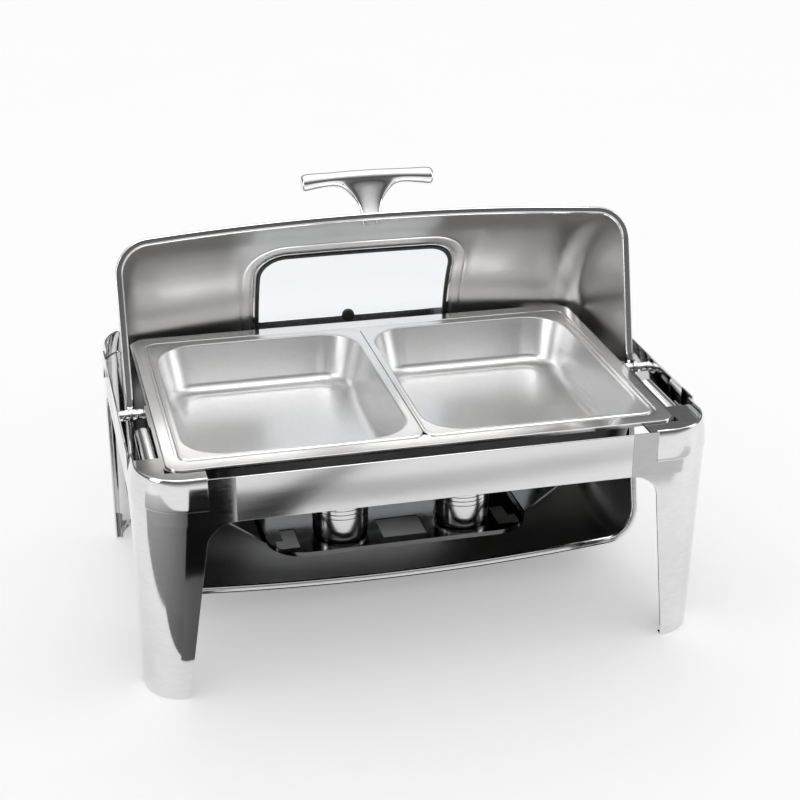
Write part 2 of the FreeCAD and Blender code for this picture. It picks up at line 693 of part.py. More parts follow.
def pan(rim_x, rim_y, rim_corner, mouth_x, mouth_y, mouth_corner, rim_z, depth, draft, centre):
    """A pressed sheet pan: a flat rim round a tapered tub, in nearly convex stretches."""
    outer = bowl(mouth_x, mouth_y, mouth_corner, rim_z, depth, draft, PAN_FOOT, centre)
    inner = bowl(mouth_x - PAN_SHEET, mouth_y - PAN_SHEET, mouth_corner - PAN_SHEET, rim_z,
                 depth - PAN_SHEET, draft, PAN_FOOT - PAN_SHEET, centre)
    rim = rounded_prism(rim_x, rim_y, rim_corner, rim_z - PAN_SHEET, rim_z, centre)
    whole = rim.fuse(outer).removeSplitter().cut(inner)
    cx, cy = centre
    straight_x = mouth_x - mouth_corner
    straight_y = mouth_y - mouth_corner
    floor = rim_z - depth + PAN_SHEET
    regions = [box(cx - rim_x, cx + rim_x, cy - rim_y, cy + rim_y, floor - PAN_SHEET, floor)]
    columns = [(cx - rim_x, cx - straight_x), (cx - straight_x, cx + straight_x),
               (cx + straight_x, cx + rim_x)]
    rows = [(cy - rim_y, cy - straight_y), (cy - straight_y, cy + straight_y),
            (cy + straight_y, cy + rim_y)]
    for z0, z1 in ((floor, rim_z - PAN_SHEET), (rim_z - PAN_SHEET, rim_z)):
        for x0, x1 in columns:
            for y0, y1 in rows:
                regions.append(box(x0, x1, y0, y1, z0, z1))
    return split(whole, regions)


def water_pan():
    """The deep pan for hot water; its rim lies on the carrier."""
    top = DECK_TOP + PAN_SHEET
    return pan(WATER_RIM_X, WATER_RIM_Y, WATER_RIM_CORNER, WATER_OPENING_X, WATER_OPENING_Y,
               WATER_MOUTH_CORNER, top, WATER_DEPTH, PAN_DRAFT, (0.0, 0.0))


def food_pan(side):
    """A half-size food pan; its rim lies on the water pan's rim."""
    top = DECK_TOP + 2 * PAN_SHEET
    return pan(FOOD_RIM_X - FOOD_GAP, FOOD_RIM_Y, FOOD_RIM_CORNER, FOOD_RIM_X - FOOD_LEDGE_X,
               FOOD_RIM_Y - FOOD_LEDGE_Y, FOOD_MOUTH_CORNER, top, FOOD_DEPTH, PAN_DRAFT,
               (side * FOOD_RIM_X, 0.0))


# ---------------------------------------------------------------- fuel tray and burners

def tray_arm_points(grow):
    """The middle line of a tray arm in the XZ plane, moved down by grow."""
    z = TRAY_FLOOR - grow
    return [(TRAY_HALF_X - TRAY_ARM_LAP, z), (TRAY_HALF_X, z), (TRAY_ARM_X, TRAY_ARM_KNEE_Z - grow)]


def fuel_tray():
    """A shallow lipped floor hung from the carrier by two bent arms."""
    middle = (0.0, 0.5 * (TRAY_FRONT_Y + TRAY_BACK_Y))
    half_y = 0.5 * (TRAY_BACK_Y - TRAY_FRONT_Y)
    floor = rounded_prism(TRAY_HALF_X, half_y, TRAY_CORNER, TRAY_FLOOR - TRAY_SHEET,
                          TRAY_FLOOR + TRAY_LIP, middle)
    well = rounded_prism(TRAY_HALF_X - TRAY_SHEET, half_y - TRAY_SHEET, TRAY_CORNER - TRAY_SHEET,
                         TRAY_FLOOR, TRAY_FLOOR + 2 * TRAY_LIP, middle)
    tray = floor.cut(well)
    for x0, x1 in TRAY_OPENINGS_X:
        tray = tray.cut(box(x0, x1, *TRAY_OPENING_Y, TRAY_FLOOR - TRAY_SHEET, TRAY_FLOOR))
    top = DECK_TOP - DECK
    for sign in (-1, 1):
        (ax, az), (bx, bz), (cx, cz) = tray_arm_points(0.0)
        low = TRAY_SHEET
        outline = [(ax, az), (bx, bz), (cx, cz), (cx, top), (cx + low, top),
                   (cx + low, cz - low), (bx + low, bz - low), (ax, az - low)]
        points = [V(sign * x, TRAY_ARM_FRONT_Y, z) for x, z in outline]
        tray = tray.fuse(prism(points, V(0, TRAY_ARM_BACK_Y - TRAY_ARM_FRONT_Y, 0)))
    return tray.removeSplitter()


def tray_screws():
    """Screw heads on the hanging arms, under the carrier."""
    heads = []
    for sign in (-1, 1):
        for y in (TRAY_ARM_FRONT_Y + TRAY_SCREW_INSET, TRAY_ARM_BACK_Y - TRAY_SCREW_INSET):
            seat = V(sign * (TRAY_ARM_X + TRAY_SHEET), y, DECK_TOP - TRAY_SCREW_DROP)
            heads.append(rod(seat, seat + V(sign * SCREW_HEAD, 0, 0), 2 * SCREW_RADIUS))
    return Part.makeCompound(heads)


def burner_cup(x, y):
    """The fuel cup, with a rounded foot and a stepped mouth."""
    base = V(x, y, TRAY_FLOOR)
    body = Part.makeCylinder(BURNER_RADIUS, BURNER_CUP_HEIGHT, base)
    foot = [e for e in body.Edges if e.BoundBox.ZMax < base.z + 1]
    body = body.makeFillet(BURNER_FOOT, foot)
    hollow = Part.makeCylinder(BURNER_RADIUS - BURNER_WALL, BURNER_CUP_HEIGHT,
                               base + V(0, 0, BURNER_FLOOR))
    return body.cut(hollow)


def shutter_pivot(x, y, z):
    return V(x - BURNER_RADIUS + SHUTTER_PIVOT_INSET, y, z)


def burner_cap(x, y):
    """The cover whose plug drops into the cup, with a central mouth."""
    base = V(x, y, TRAY_FLOOR + BURNER_CUP_HEIGHT + BURNER_FIT)
    inner = BURNER_RADIUS - BURNER_WALL - BURNER_FIT
    low = base - V(0, 0, CAP_PLUG)
    half = BURNER_CAP_HEIGHT / 2
    body = Part.makeCylinder(BURNER_RADIUS, BURNER_CAP_HEIGHT, base)
    plug = Part.makeCylinder(inner, CAP_PLUG, low)
    hollow = Part.makeCylinder(inner - BURNER_WALL, BURNER_CAP_HEIGHT + CAP_PLUG - BURNER_FLOOR, low)
    mouth = Part.makeCylinder(BURNER_MOUTH, BURNER_CAP_HEIGHT, base + V(0, 0, half))
    bore = Part.makeCylinder(RIVET_RADIUS, BURNER_CAP_HEIGHT, shutter_pivot(x, y, base.z + half))
    return body.fuse(plug).removeSplitter().cut(hollow).cut(mouth).cut(bore)


def burner_shutter(x, y):
    """The flat cover that swings over the mouth to damp the flame."""
    base = V(x, y, SHUTTER_Z)
    top = SHUTTER_Z + SHUTTER_SHEET
    pivot = shutter_pivot(x, y, SHUTTER_Z)
    disc = Part.makeCylinder(BURNER_MOUTH + SHUTTER_LAP, SHUTTER_SHEET, base)
    ear = Part.makeCylinder(SHUTTER_EAR, SHUTTER_SHEET, pivot)
    web = box(pivot.x, x, y - SHUTTER_EAR, y + SHUTTER_EAR, SHUTTER_Z, top)
    tab = box(x, x + BURNER_RADIUS + SHUTTER_TAB_REACH, y - SHUTTER_TAB_HALF, y + SHUTTER_TAB_HALF,
              SHUTTER_Z, top)
    plate = disc.fuse([ear, web, tab]).removeSplitter()
    bore = RIVET_RADIUS + PIN_RUNNING_CLEARANCE
    return plate.cut(Part.makeCylinder(bore, SHUTTER_SHEET, pivot))


def shutter_rivet(x, y):
    """The rivet that the shutter turns on, from the cap's top plate to its own head."""
    shank_low = SHUTTER_Z - BURNER_FIT - BURNER_FLOOR
    head_low = SHUTTER_Z + SHUTTER_SHEET + BURNER_FIT
    shank = Part.makeCylinder(RIVET_RADIUS, head_low - shank_low, shutter_pivot(x, y, shank_low))
    head = Part.makeCylinder(RIVET_HEAD, SHUTTER_SHEET, shutter_pivot(x, y, head_low))
    return shank.fuse(head).removeSplitter()


# ---------------------------------------------------------------- the whole object

def all_nodes():
    """Every node's name with its shape."""
    nodes = {}
    corner_leg = leg()
    corner_collar = collar()
    for name, flip_x, flip_y in QUADRANTS:
        nodes["leg_" + name] = mirrored(corner_leg, flip_x, flip_y)
        nodes["collar_" + name] = mirrored(corner_collar, flip_x, flip_y)
    nodes["front_band"] = band(True)
    nodes["rear_band"] = band(False)
    nodes["joint_plates"] = joint_plates()
    nodes["joint_screws"] = joint_screws()
    nodes["rear_bumper"] = bumper()
    nodes["pan_carrier"] = carrier()
    for name, side in SIDES:
        nodes["rail_" + name] = rail(side)
        nodes["deck_plate_" + name] = deck_plate(side)
        nodes["arm_" + name] = arm(side)
        nodes["pivot_bracket_" + name] = pivot_bracket(side)
        nodes["pivot_pin_" + name] = pivot_pin(side)
        nodes["spacer_inner_" + name] = spacer(side, CARRIER_HALF_X + BRACKET_WALL,
                                               LUG_INNER_X - RUNNING_GAP)
        nodes["spacer_outer_" + name] = spacer(side, LUG_OUTER_X + RUNNING_GAP,
                                               STAND_HALF_X - SHEET)
        nodes["lid_lug_" + name] = opened(lid_lug(side))
        nodes["food_pan_" + name] = food_pan(side)
    nodes["lid_shell"] = opened(lid_shell())
    nodes["lid_rim_wire"] = opened(rim_wire())
    nodes["window_glass"] = opened(window_piece(0.0, -GLASS_THICKNESS, -GASKET_WIDTH, None))
    nodes["window_gasket"] = opened(window_piece(GASKET_PROUD, -GLASS_THICKNESS - GASKET_PROUD, 0.0,
                                                 -GASKET_WIDTH))
    nodes["window_trim"] = opened(window_piece(-LID_WALL, -LID_WALL - WINDOW_TRIM_WALL,
                                               WINDOW_TRIM_WIDTH, 0.0))
    nodes["lid_handle"] = opened(lid_handle())
    nodes["handle_screws"] = opened(handle_screws())
    nodes["water_pan"] = water_pan()
    nodes["fuel_tray"] = fuel_tray()
    nodes["tray_screws"] = tray_screws()
    for name, x, y in BURNER_XY:
        nodes["burner_cup_" + name] = burner_cup(x, y)
        nodes["burner_cap_" + name] = burner_cap(x, y)
        nodes["burner_shutter_" + name] = burner_shutter(x, y)
        nodes["shutter_rivet_" + name] = shutter_rivet(x, y)
    return nodes


def main():
    os.makedirs("parts", exist_ok=True)
    for name, shape in all_nodes().items():
        kinds = [s.isValid() for s in shape.Solids]
        print(name, len(shape.Solids), all(kinds), round(shape.Volume))
        shape.exportStep("parts/" + name + ".step")


main()
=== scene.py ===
import json
import math

import bpy
from mathutils import Euler, Matrix, Vector

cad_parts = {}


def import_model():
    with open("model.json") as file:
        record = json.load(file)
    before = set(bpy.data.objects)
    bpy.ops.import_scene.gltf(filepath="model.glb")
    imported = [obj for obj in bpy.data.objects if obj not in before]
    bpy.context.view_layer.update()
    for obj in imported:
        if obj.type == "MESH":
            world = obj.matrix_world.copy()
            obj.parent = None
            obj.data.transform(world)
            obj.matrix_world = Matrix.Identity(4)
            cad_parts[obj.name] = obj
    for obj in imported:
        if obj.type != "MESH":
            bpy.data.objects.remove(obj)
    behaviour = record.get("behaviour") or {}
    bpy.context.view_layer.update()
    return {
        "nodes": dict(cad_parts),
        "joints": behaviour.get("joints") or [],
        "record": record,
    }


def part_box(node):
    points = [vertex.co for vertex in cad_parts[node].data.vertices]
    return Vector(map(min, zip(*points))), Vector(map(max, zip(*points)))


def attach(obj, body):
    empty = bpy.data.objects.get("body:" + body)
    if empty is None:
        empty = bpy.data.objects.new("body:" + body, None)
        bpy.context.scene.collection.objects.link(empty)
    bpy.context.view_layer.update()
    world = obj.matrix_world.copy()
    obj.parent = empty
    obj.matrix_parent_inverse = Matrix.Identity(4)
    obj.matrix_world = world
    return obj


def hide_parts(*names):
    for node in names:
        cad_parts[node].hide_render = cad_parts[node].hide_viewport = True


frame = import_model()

# The looks of a roll top chafer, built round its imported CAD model.
# Metres; +X is the viewer's right, +Y the back, +Z up.

MM = 0.001
SIDES = ("left", "right")

# ---------------------------------------------------------------- camera

# Angles in degrees, the lens in millimetres.
CAMERA_AT = Vector((-418.6, -1661.5, 1002.3)) * MM
CAMERA_YAW = 14.56
CAMERA_PITCH = 24.18
CAMERA_ROLL = 0.56
CAMERA_LENS = 72.3

# ---------------------------------------------------------------- sizes

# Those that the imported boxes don't give. A pair is along X and along Y.
STAND_HALF = (317 * MM, 222.5 * MM)
STAND_CORNER = 55 * MM
STAND_EDGE = 0.6 * MM
FOOT_CORNER = 45 * MM
FOOT_HALF = (316 * MM, 210 * MM)
FOOT_LIP = 9 * MM
LEG_KNEE = 30 * MM
LEG_INNER = (247 * MM, 147 * MM)
JOINT_AT = (215 * MM, 115 * MM)
LEG_WALL = 1.8 * MM
COLLAR_LAP = 236.5 * MM
COLLAR_INNER = (243 * MM, 143 * MM)
COLLAR_COVER = (243.5 * MM, 143.5 * MM)
COLLAR_WALL = 1 * MM

LID_OPEN = math.radians(105)
LID_RIM_Z = 260 * MM
LID_RADIUS = 208.5 * MM
LID_HALF_X = 296 * MM
LID_CROWN_RADIUS = 3204.5 * MM
LID_CORNER = 34 * MM
LID_WALL = 1 * MM
LID_FOOT_RADIUS = 3 * MM

WINDOW_HALF_X = 122.5 * MM
WINDOW_FROM = math.radians(38)
WINDOW_TO = math.radians(104)
WINDOW_CORNER = 33 * MM
WINDOW_STEPS = (60, 56)  # points along a side and up a side of a trim
PATCH_X = 152 * MM
PATCH_FROM = math.radians(28.5)
PATCH_TO = math.radians(113.5)
PRESSED_RISE = 1 * MM
PRESSED_FROM = 6.5 * MM
PRESSED_RUN = 3.5 * MM
RIDGE_RISE = 0.8 * MM
RIDGE_AT = 19 * MM
RIDGE_WIDTH = 1.5 * MM

HANDLE_ANGLE = math.radians(12)
HANDLE_REACH = 62 * MM
HANDLE_HALF_SPAN = 80 * MM
HANDLE_BAR_DROP = 9 * MM
HANDLE_BAR_HALF = (9.2 * MM, 9.8 * MM)  # front to back, and up

PAN_SHEET = 0.9 * MM
PAN_FLOOR = 1 * MM
PAN_DRAFT = 9 * MM
FOOD_MOUTH_INSET = (9.1 * MM, 10.5 * MM)
FOOD_CORNER = 47 * MM
FOOD_RIM_CORNER = 14 * MM
FOOD_LIP = 3.2 * MM
FOOD_FOOT = 16 * MM
WATER_LEDGE = (266.6 * MM, 164.6 * MM)
WATER_LEDGE_CORNER = 15 * MM
WATER_RIM_CORNER = 18 * MM
WATER_MOUTH = (257.6 * MM, 154.6 * MM)
WATER_CORNER = 48 * MM
WATER_LIP = 2 * MM
WATER_FOOT = 13 * MM

BURNER_MOUTH = 17 * MM

PIVOT = Vector(next(j for j in frame["joints"] if j["name"] == "lid_roll")["pos_m"])


# ---------------------------------------------------------------- materials

def material(name, colour, rough, metallic=1.0):
    """A new material, its node tree and its shader."""
    made = bpy.data.materials.new(name)
    made.use_nodes = True
    shader = made.node_tree.nodes["Principled BSDF"]
    shader.inputs["Base Color"].default_value = (*colour, 1)
    shader.inputs["Roughness"].default_value = rough
    shader.inputs["Metallic"].default_value = metallic
    return made, made.node_tree, shader


def noise(tree, scale, stretch=(1, 1, 1), detail=3.0, rough=0.55, turn=(0, 0, 0)):
    """A noise texture in the object's own metres, stretched by a scale for each axis."""
    where = tree.nodes.new("ShaderNodeTexCoord")
    place = tree.nodes.new("ShaderNodeMapping")
    place.inputs["Scale"].default_value = stretch
    place.inputs["Rotation"].default_value = turn
    made = tree.nodes.new("ShaderNodeTexNoise")
    made.inputs["Scale"].default_value = scale
    made.inputs["Detail"].default_value = detail
    made.inputs["Roughness"].default_value = rough
    tree.links.new(where.outputs["Object"], place.inputs["Vector"])
    tree.links.new(place.outputs["Vector"], made.inputs["Vector"])
    return made.outputs["Fac"]


def ramp(tree, value, low, high, start=0.35, stop=0.65):
    """Values from low to high as the input goes from start to stop."""
    made = tree.nodes.new("ShaderNodeMapRange")
    made.inputs["From Min"].default_value = start
    made.inputs["From Max"].default_value = stop
    made.inputs["To Min"].default_value = low
    made.inputs["To Max"].default_value = high
    tree.links.new(value, made.inputs["Value"])
    return made.outputs["Result"]


def blend_colours(tree, value, first, second):
    """The first colour where the value is 0 and the second where it is 1; either may be a socket."""
    made = tree.nodes.new("ShaderNodeMix")
    made.data_type = "RGBA"
    for place, colour in ((6, first), (7, second)):
        if isinstance(colour, tuple):
            made.inputs[place].default_value = (*colour, 1)
        else:
            tree.links.new(colour, made.inputs[place])
    tree.links.new(value, made.inputs[0])
    return made.outputs[2]


def combine(tree, operation, first, second):
    """A Math node's result on a socket and either a number or another socket."""
    made = tree.nodes.new("ShaderNodeMath")
    made.operation = operation
    tree.links.new(first, made.inputs[0])
    if isinstance(second, float):
        made.inputs[1].default_value = second
    else:
        tree.links.new(second, made.inputs[1])
    return made.outputs["Value"]


def bump(tree, shader, height, strength, distance):
    """Raises the surface a little where the height is greater."""
    made = tree.nodes.new("ShaderNodeBump")
    made.inputs["Strength"].default_value = strength
    made.inputs["Distance"].default_value = distance
    tree.links.new(height, made.inputs["Height"])
    tree.links.new(made.outputs["Normal"], shader.inputs["Normal"])


def place_along(tree, axis):
    """Where a point of the surface lies along an axis, in the object's own metres."""
    where = tree.nodes.new("ShaderNodeTexCoord")
    parts = tree.nodes.new("ShaderNodeSeparateXYZ")
    tree.links.new(where.outputs["Object"], parts.inputs["Vector"])
    return parts.outputs[axis]


def darker_below(tree, colour, low, high, share):
    """The colour, falling to a share of itself from the high place on Z down to the low one."""
    scale = tree.nodes.new("ShaderNodeVectorMath")
    scale.operation = "SCALE"
    tree.links.new(colour, scale.inputs[0])
    tree.links.new(ramp(tree, place_along(tree, "Z"), share, 1.0, start=low, stop=high),
                   scale.inputs["Scale"])
    return scale.outputs["Vector"]


def steel(name, dark, light, rough, rough_more, grain, grain_rough, grain_bump, smudge=11.0,
          deep=None):
    """Stainless steel: cloudy polish marks, fine grain stretched along one axis, faint scratches.

    deep is (low, high, share), as darker_below takes them; it paints shade, darkening the colour
    towards the bottom.
    """
    made, tree, shader = material(name, light, rough)
    cloud = noise(tree, smudge, detail=4.0)
    lines = noise(tree, 1.0, stretch=grain, detail=2.0, rough=0.7)
    scratch = noise(tree, 1.0, stretch=(35, 900, 900), detail=1.0, turn=(0.3, 0.5, 0.9))
    tint = combine(tree, "ADD", ramp(tree, cloud, 0.0, 0.6), ramp(tree, lines, 0.0, 0.4))
    colour = blend_colours(tree, tint, dark, light)
    # Painted shade: the colour falls off towards the bottom of the piece.
    if deep is not None:
        colour = darker_below(tree, colour, *deep)
    tree.links.new(colour, shader.inputs["Base Color"])
    uneven = combine(tree, "ADD", ramp(tree, cloud, rough, rough_more),
                     ramp(tree, lines, 0.0, grain_rough))
    marks = ramp(tree, scratch, 0.0, 0.012, start=0.58, stop=0.82)
    tree.links.new(combine(tree, "ADD", uneven, marks), shader.inputs["Roughness"])
    bump(tree, shader, lines, grain_bump, 0.05 * MM)
    return made


def rubber(name, colour, rough):
    """Moulded rubber with a fine pebbled surface and a faintly uneven colour."""
    made, tree, shader = material(name, colour, rough, metallic=0.0)
    fine = noise(tree, 900.0, detail=3.0)
    cloud = noise(tree, 40.0)
    lighter = tuple(c + 0.02 for c in colour)
    tree.links.new(blend_colours(tree, cloud, colour, lighter), shader.inputs["Base Color"])
    tree.links.new(ramp(tree, fine, rough - 0.08, rough + 0.1), shader.inputs["Roughness"])
    bump(tree, shader, fine, 0.25, 0.1 * MM)
    return made


def glass(name):
    """Clear glass with faint smears."""
    made, tree, shader = material(name, (0.93, 0.95, 0.97), 0.02, metallic=0.0)
    shader.inputs["Transmission Weight"].default_value = 1.0
    shader.inputs["IOR"].default_value = 1.3
    smear = noise(tree, 14.0, stretch=(1, 1, 0.4), detail=4.0)
    tree.links.new(ramp(tree, smear, 0.01, 0.06), shader.inputs["Roughness"])
    return made


MIRROR = steel("mirror_steel", (0.70, 0.70, 0.705), (0.79, 0.79, 0.79), 0.05, 0.085,
               (60, 60, 420), 0.03, 0.02)
BAND = steel("band_steel", (0.73, 0.73, 0.73), (0.79, 0.79, 0.79), 0.20, 0.235,
             (12, 500, 500), 0.015, 0.006)
# The lid's inside: satin steel with painted shade. Its colour falls to 0.28 of itself on the lower
# part, which lies in the pans' shadow.
SATIN = steel("lid_satin_steel_painted_shade", (0.80, 0.79, 0.78), (0.86, 0.85, 0.84), 0.285, 0.32,
              (8, 300, 300), 0.012, 0.004, smudge=4.0, deep=(0.05, 0.34, 0.28))
PAN = steel("pan_satin_steel", (0.83, 0.83, 0.83), (0.89, 0.89, 0.89), 0.285, 0.315,
            (300, 25, 300), 0.012, 0.003, smudge=6.0)
RIM = steel("rim_steel", (0.80, 0.80, 0.80), (0.90, 0.90, 0.90), 0.10, 0.15,
            (60, 500, 500), 0.04, 0.03)
# The pans' undersides: steel painted near black, which is painted shade.
PAINTED_SHADE_UNDERSIDE = steel("underside_steel_painted_shade", (0.03, 0.03, 0.03), (0.06, 0.06, 0.06), 0.29, 0.36,
              (60, 500, 500), 0.04, 0.03)
CHROME = steel("chrome", (0.84, 0.84, 0.85), (0.93, 0.93, 0.93), 0.035, 0.06,
               (200, 200, 200), 0.015, 0.01, smudge=30.0)
# The fuel tray: polished steel painted dark, which is painted shade under the pans.
TRAY = steel("tray_steel_painted_shade", (0.13, 0.13, 0.13), (0.20, 0.20, 0.20), 0.05, 0.09,
             (40, 500, 500), 0.04, 0.02)
DECK = steel("deck_steel", (0.40, 0.40, 0.40), (0.55, 0.55, 0.55), 0.07, 0.12,
             (60, 400, 400), 0.04, 0.02)
BURNER = steel("burner_steel", (0.78, 0.78, 0.78), (0.90, 0.90, 0.90), 0.09, 0.13,
               (30, 30, 1500), 0.06, 0.06, smudge=25.0)
GASKET = rubber("black_gasket_rubber", (0.012, 0.012, 0.012), 0.42)
RUBBER = rubber("black_button_rubber", (0.010, 0.010, 0.010), 0.55)
GLASS = glass("window_glass_clear")

CAD_MATERIALS = {
    "stand_polished": MIRROR,
    "deck_steel": DECK,
    "fastener_steel": CHROME,
    "pivot_chrome": CHROME,
    "lid_polished": MIRROR,
    "lid_satin": SATIN,
    "window_glass": GLASS,
    "black_gasket": GASKET,
    "black_rubber": RUBBER,
    "handle_chrome": CHROME,
    "food_pan_satin": PAN,
    "water_pan_steel": RIM,
    "tray_polished": TRAY,
    "burner_steel": BURNER,
}


def dress_cad():
    """Gives every carried-over CAD node its slot's material."""
    for part in frame["record"]["subparts"]:
        node = frame["nodes"][part["node"]]
        node.data.materials.clear()
        node.data.materials.append(CAD_MATERIALS[part["material_slot"]])


# ---------------------------------------------------------------- mesh helpers

def piece(name, points, faces, body, paints, replaced, sharp=35):
    """A new piece from its points and faces, riding on a body in place of CAD nodes."""
    mesh = bpy.data.meshes.new(name)
    mesh.from_pydata(points, [], faces)
    for paint in paints:
        mesh.materials.append(paint)
    mesh.shade_smooth()
    mesh.set_sharp_from_angle(angle=math.radians(sharp))
    made = bpy.data.objects.new(name, mesh)
    bpy.context.scene.collection.objects.link(made)
    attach(made, body)
    if replaced:
        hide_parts(*replaced)
    return made


def skin(rings, first=False, last=False):
    """Points and faces of a surface through closed rings of equal length, with optional caps."""
    count = len(rings[0])
    points = [p for ring in rings for p in ring]
    faces = []
    for row in range(len(rings) - 1):
        for i in range(count):
            a = row * count + i
            b = row * count + (i + 1) % count
            faces.append((a, b, b + count, a + count))
    if first:
        faces.append(tuple(reversed(range(count))))
    if last:
        faces.append(tuple(range(len(points) - count, len(points))))
    return points, faces


def rounded_ring(half_x, half_y, corner, z, centre):
    """Points round a level rounded rectangle, counter-clockwise from +X."""
    points = []
    for quadrant, (side_x, side_y) in enumerate(((1, 1), (-1, 1), (-1, -1), (1, -1))):
        middle = (centre[0] + side_x * (half_x - corner), centre[1] + side_y * (half_y - corner))
        for x, y in arc_points(middle, corner, 90 * quadrant, 90 * quadrant + 90, 10):
            points.append(Vector((x, y, z)))
    return points


def arc_points(centre, radius, start, stop, steps):
    """Points (u, v) on an arc, in degrees."""
    made = []
    for step in range(steps + 1):
        a = math.radians(start + (stop - start) * step / steps)
        made.append((centre[0] + radius * math.cos(a), centre[1] + radius * math.sin(a)))
    return made


def soften(made, width, angle):
    """Rounds a piece's hard edges and keeps the look of its flat faces flat."""
    bevel = made.modifiers.new("edges", "BEVEL")
    bevel.width = width
    bevel.segments = 2
    bevel.limit_method = "ANGLE"
    bevel.angle_limit = math.radians(angle)
    bevel.use_clamp_overlap = True
    even = made.modifiers.new("even_normals", "WEIGHTED_NORMAL")
    even.keep_sharp = True
    even.weight = 60


def thicken(made, wall, inner_paint=0):
    """Gives a sheet its wall behind its drawn face."""
    sheet = made.modifiers.new("wall", "SOLIDIFY")
    sheet.thickness = wall
    sheet.offset = -1
    sheet.use_even_offset = True
    sheet.material_offset = inner_paint


def lathe(name, profile, at, axis, body, paint, replaced, steps=48):
    """A turned piece: (radius, height) points about an axis from a place."""
    turn = Vector(axis).to_track_quat("Z", "X").to_matrix()
    rings = []
    for radius, height in profile:
        ring = []
        for step in range(steps):
            a = 2 * math.pi * step / steps
            ring.append(Vector(at) + turn @ Vector((radius * math.cos(a), radius * math.sin(a),
                                                    height)))
        rings.append(ring)
    points, faces = skin(rings, first=True, last=True)
    piece(name, points, faces, body, [paint], replaced)


def in_metres(pairs):
    """Pairs of millimetres as pairs of metres."""
    return [(first * MM, second * MM) for first, second in pairs]


# ---------------------------------------------------------------- pans

def pan(name, node, paints, levels, centre):
    """A pressed pan from the levels of its upper face, listed from the rim's edge inward."""
    loops = [rounded_ring(*level, centre) for level in levels]
    half_x, half_y, corner, z = levels[-1]
    for share in (0.8, 0.5, 0.2):
        loops.append(rounded_ring(half_x * share, half_y * share, corner * share, z, centre))
    points, faces = skin(loops, last=True)
    made = piece(name, points, faces, node, paints, [node])
    thicken(made, PAN_SHEET, inner_paint=1)
    soften(made, 0.25 * MM, angle=60)


def edge_levels(half, corner, top, steps, corner_growth=1):
    """Levels near a rim's half sizes and top, from (out, rise) steps in millimetres.

    The corner's radius grows outward with the steps, or inward where corner_growth is -1.
    """
    return [(half[0] + out, half[1] + out, corner + corner_growth * out, top + rise)
            for out, rise in in_metres(steps)]


def tub_levels(mouth, corner, top, floor, lip, foot):
    """Levels from a pan's mouth down its drafted wall and round its foot to the floor."""
    low = floor + foot
    steps = [(u, top + v) for u, v in arc_points((-lip, -lip), lip, 90, 0, 5)]
    steps += [(share * PAN_DRAFT, top - lip + share * (low - top + lip)) for share in (0.08, 0.5)]
    steps += arc_points((PAN_DRAFT + foot, low), foot, 180, 270, 9)
    return [(mouth[0] - inset, mouth[1] - inset, corner - 0.6 * max(inset, 0), z)
            for inset, z in steps]


def food_pans():
    """Two half-size pans with rolled rims and deep rounded corners."""
    for side in SIDES:
        node = "food_pan_" + side
        low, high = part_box(node)
        centre = (0.5 * (low.x + high.x), 0.5 * (low.y + high.y))
        rim = (0.5 * (high.x - low.x), 0.5 * (high.y - low.y))
        mouth = (rim[0] - FOOD_MOUTH_INSET[0], rim[1] - FOOD_MOUTH_INSET[1])
        levels = edge_levels(rim, FOOD_RIM_CORNER, high.z,
                             ((0, -0.9), (0, 0.2), (-0.5, 0.85), (-1.3, 1.1), (-2.2, 0.9),
                              (-3, 0.3), (-3.8, 0)), corner_growth=-1)
        levels += tub_levels(mouth, FOOD_CORNER, high.z, low.z + PAN_FLOOR, FOOD_LIP, FOOD_FOOT)
        pan("food_pan_pressed_" + side, node, [PAN, PAINTED_SHADE_UNDERSIDE], levels, centre)


def water_pan():
    """The pan under the food pans, with a raised edge round its flat rim."""
    low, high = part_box("water_pan")
    levels = edge_levels((high.x, high.y), WATER_RIM_CORNER, high.z,
                         ((0, -0.9), (0, 0.6), (-0.4, 1.1), (-1.2, 1.3)))
    levels += edge_levels(WATER_LEDGE, WATER_LEDGE_CORNER, high.z,
                          ((2.4, 1.3), (1.4, 1.0), (0.8, 0.2), (0, 0)))
    levels += tub_levels(WATER_MOUTH, WATER_CORNER, high.z, low.z + PAN_FLOOR, WATER_LIP,
                         WATER_FOOT)
    pan("water_pan_pressed", "water_pan", [RIM, PAINTED_SHADE_UNDERSIDE], levels, (0.0, 0.0))


# ---------------------------------------------------------------- lid

CROWN_MIDDLE = LID_RADIUS - LID_CROWN_RADIUS
CORNER_X = LID_HALF_X - LID_CORNER
CORNER_R = CROWN_MIDDLE + math.sqrt((LID_CROWN_RADIUS - LID_CORNER) ** 2 - CORNER_X ** 2)
CROWN_HALF = math.asin(CORNER_X / (LID_CROWN_RADIUS - LID_CORNER))
WINDOW_MIDDLE = 0.5 * (WINDOW_FROM + WINDOW_TO)
WINDOW_HALF_W = LID_RADIUS * math.sin(0.5 * (WINDOW_TO - WINDOW_FROM))


def opened(points):
    """Points drawn on the closed lid, turned to where the open lid stands."""
    turn = (Matrix.Translation(PIVOT) @ Matrix.Rotation(-LID_OPEN, 4, "X")
            @ Matrix.Translation(-PIVOT))
    return [turn @ p for p in points]


def barrel_radius(x):
    """The lid's outer radius on its crown."""
    return CROWN_MIDDLE + math.sqrt(LID_CROWN_RADIUS ** 2 - x * x)


def on_barrel(x, radius, angle):
    """A point at a radius and an angle, measured at the rim's height from the front."""
    return Vector((x, -radius * math.cos(angle), LID_RIM_Z + radius * math.sin(angle)))


def on_window(x, w, offset):
    """A point at an offset over the crown: x along the lid, w across it from the window's middle."""
    radius = barrel_radius(x) + offset
    return on_barrel(x, radius, WINDOW_MIDDLE + math.asin(w / radius))


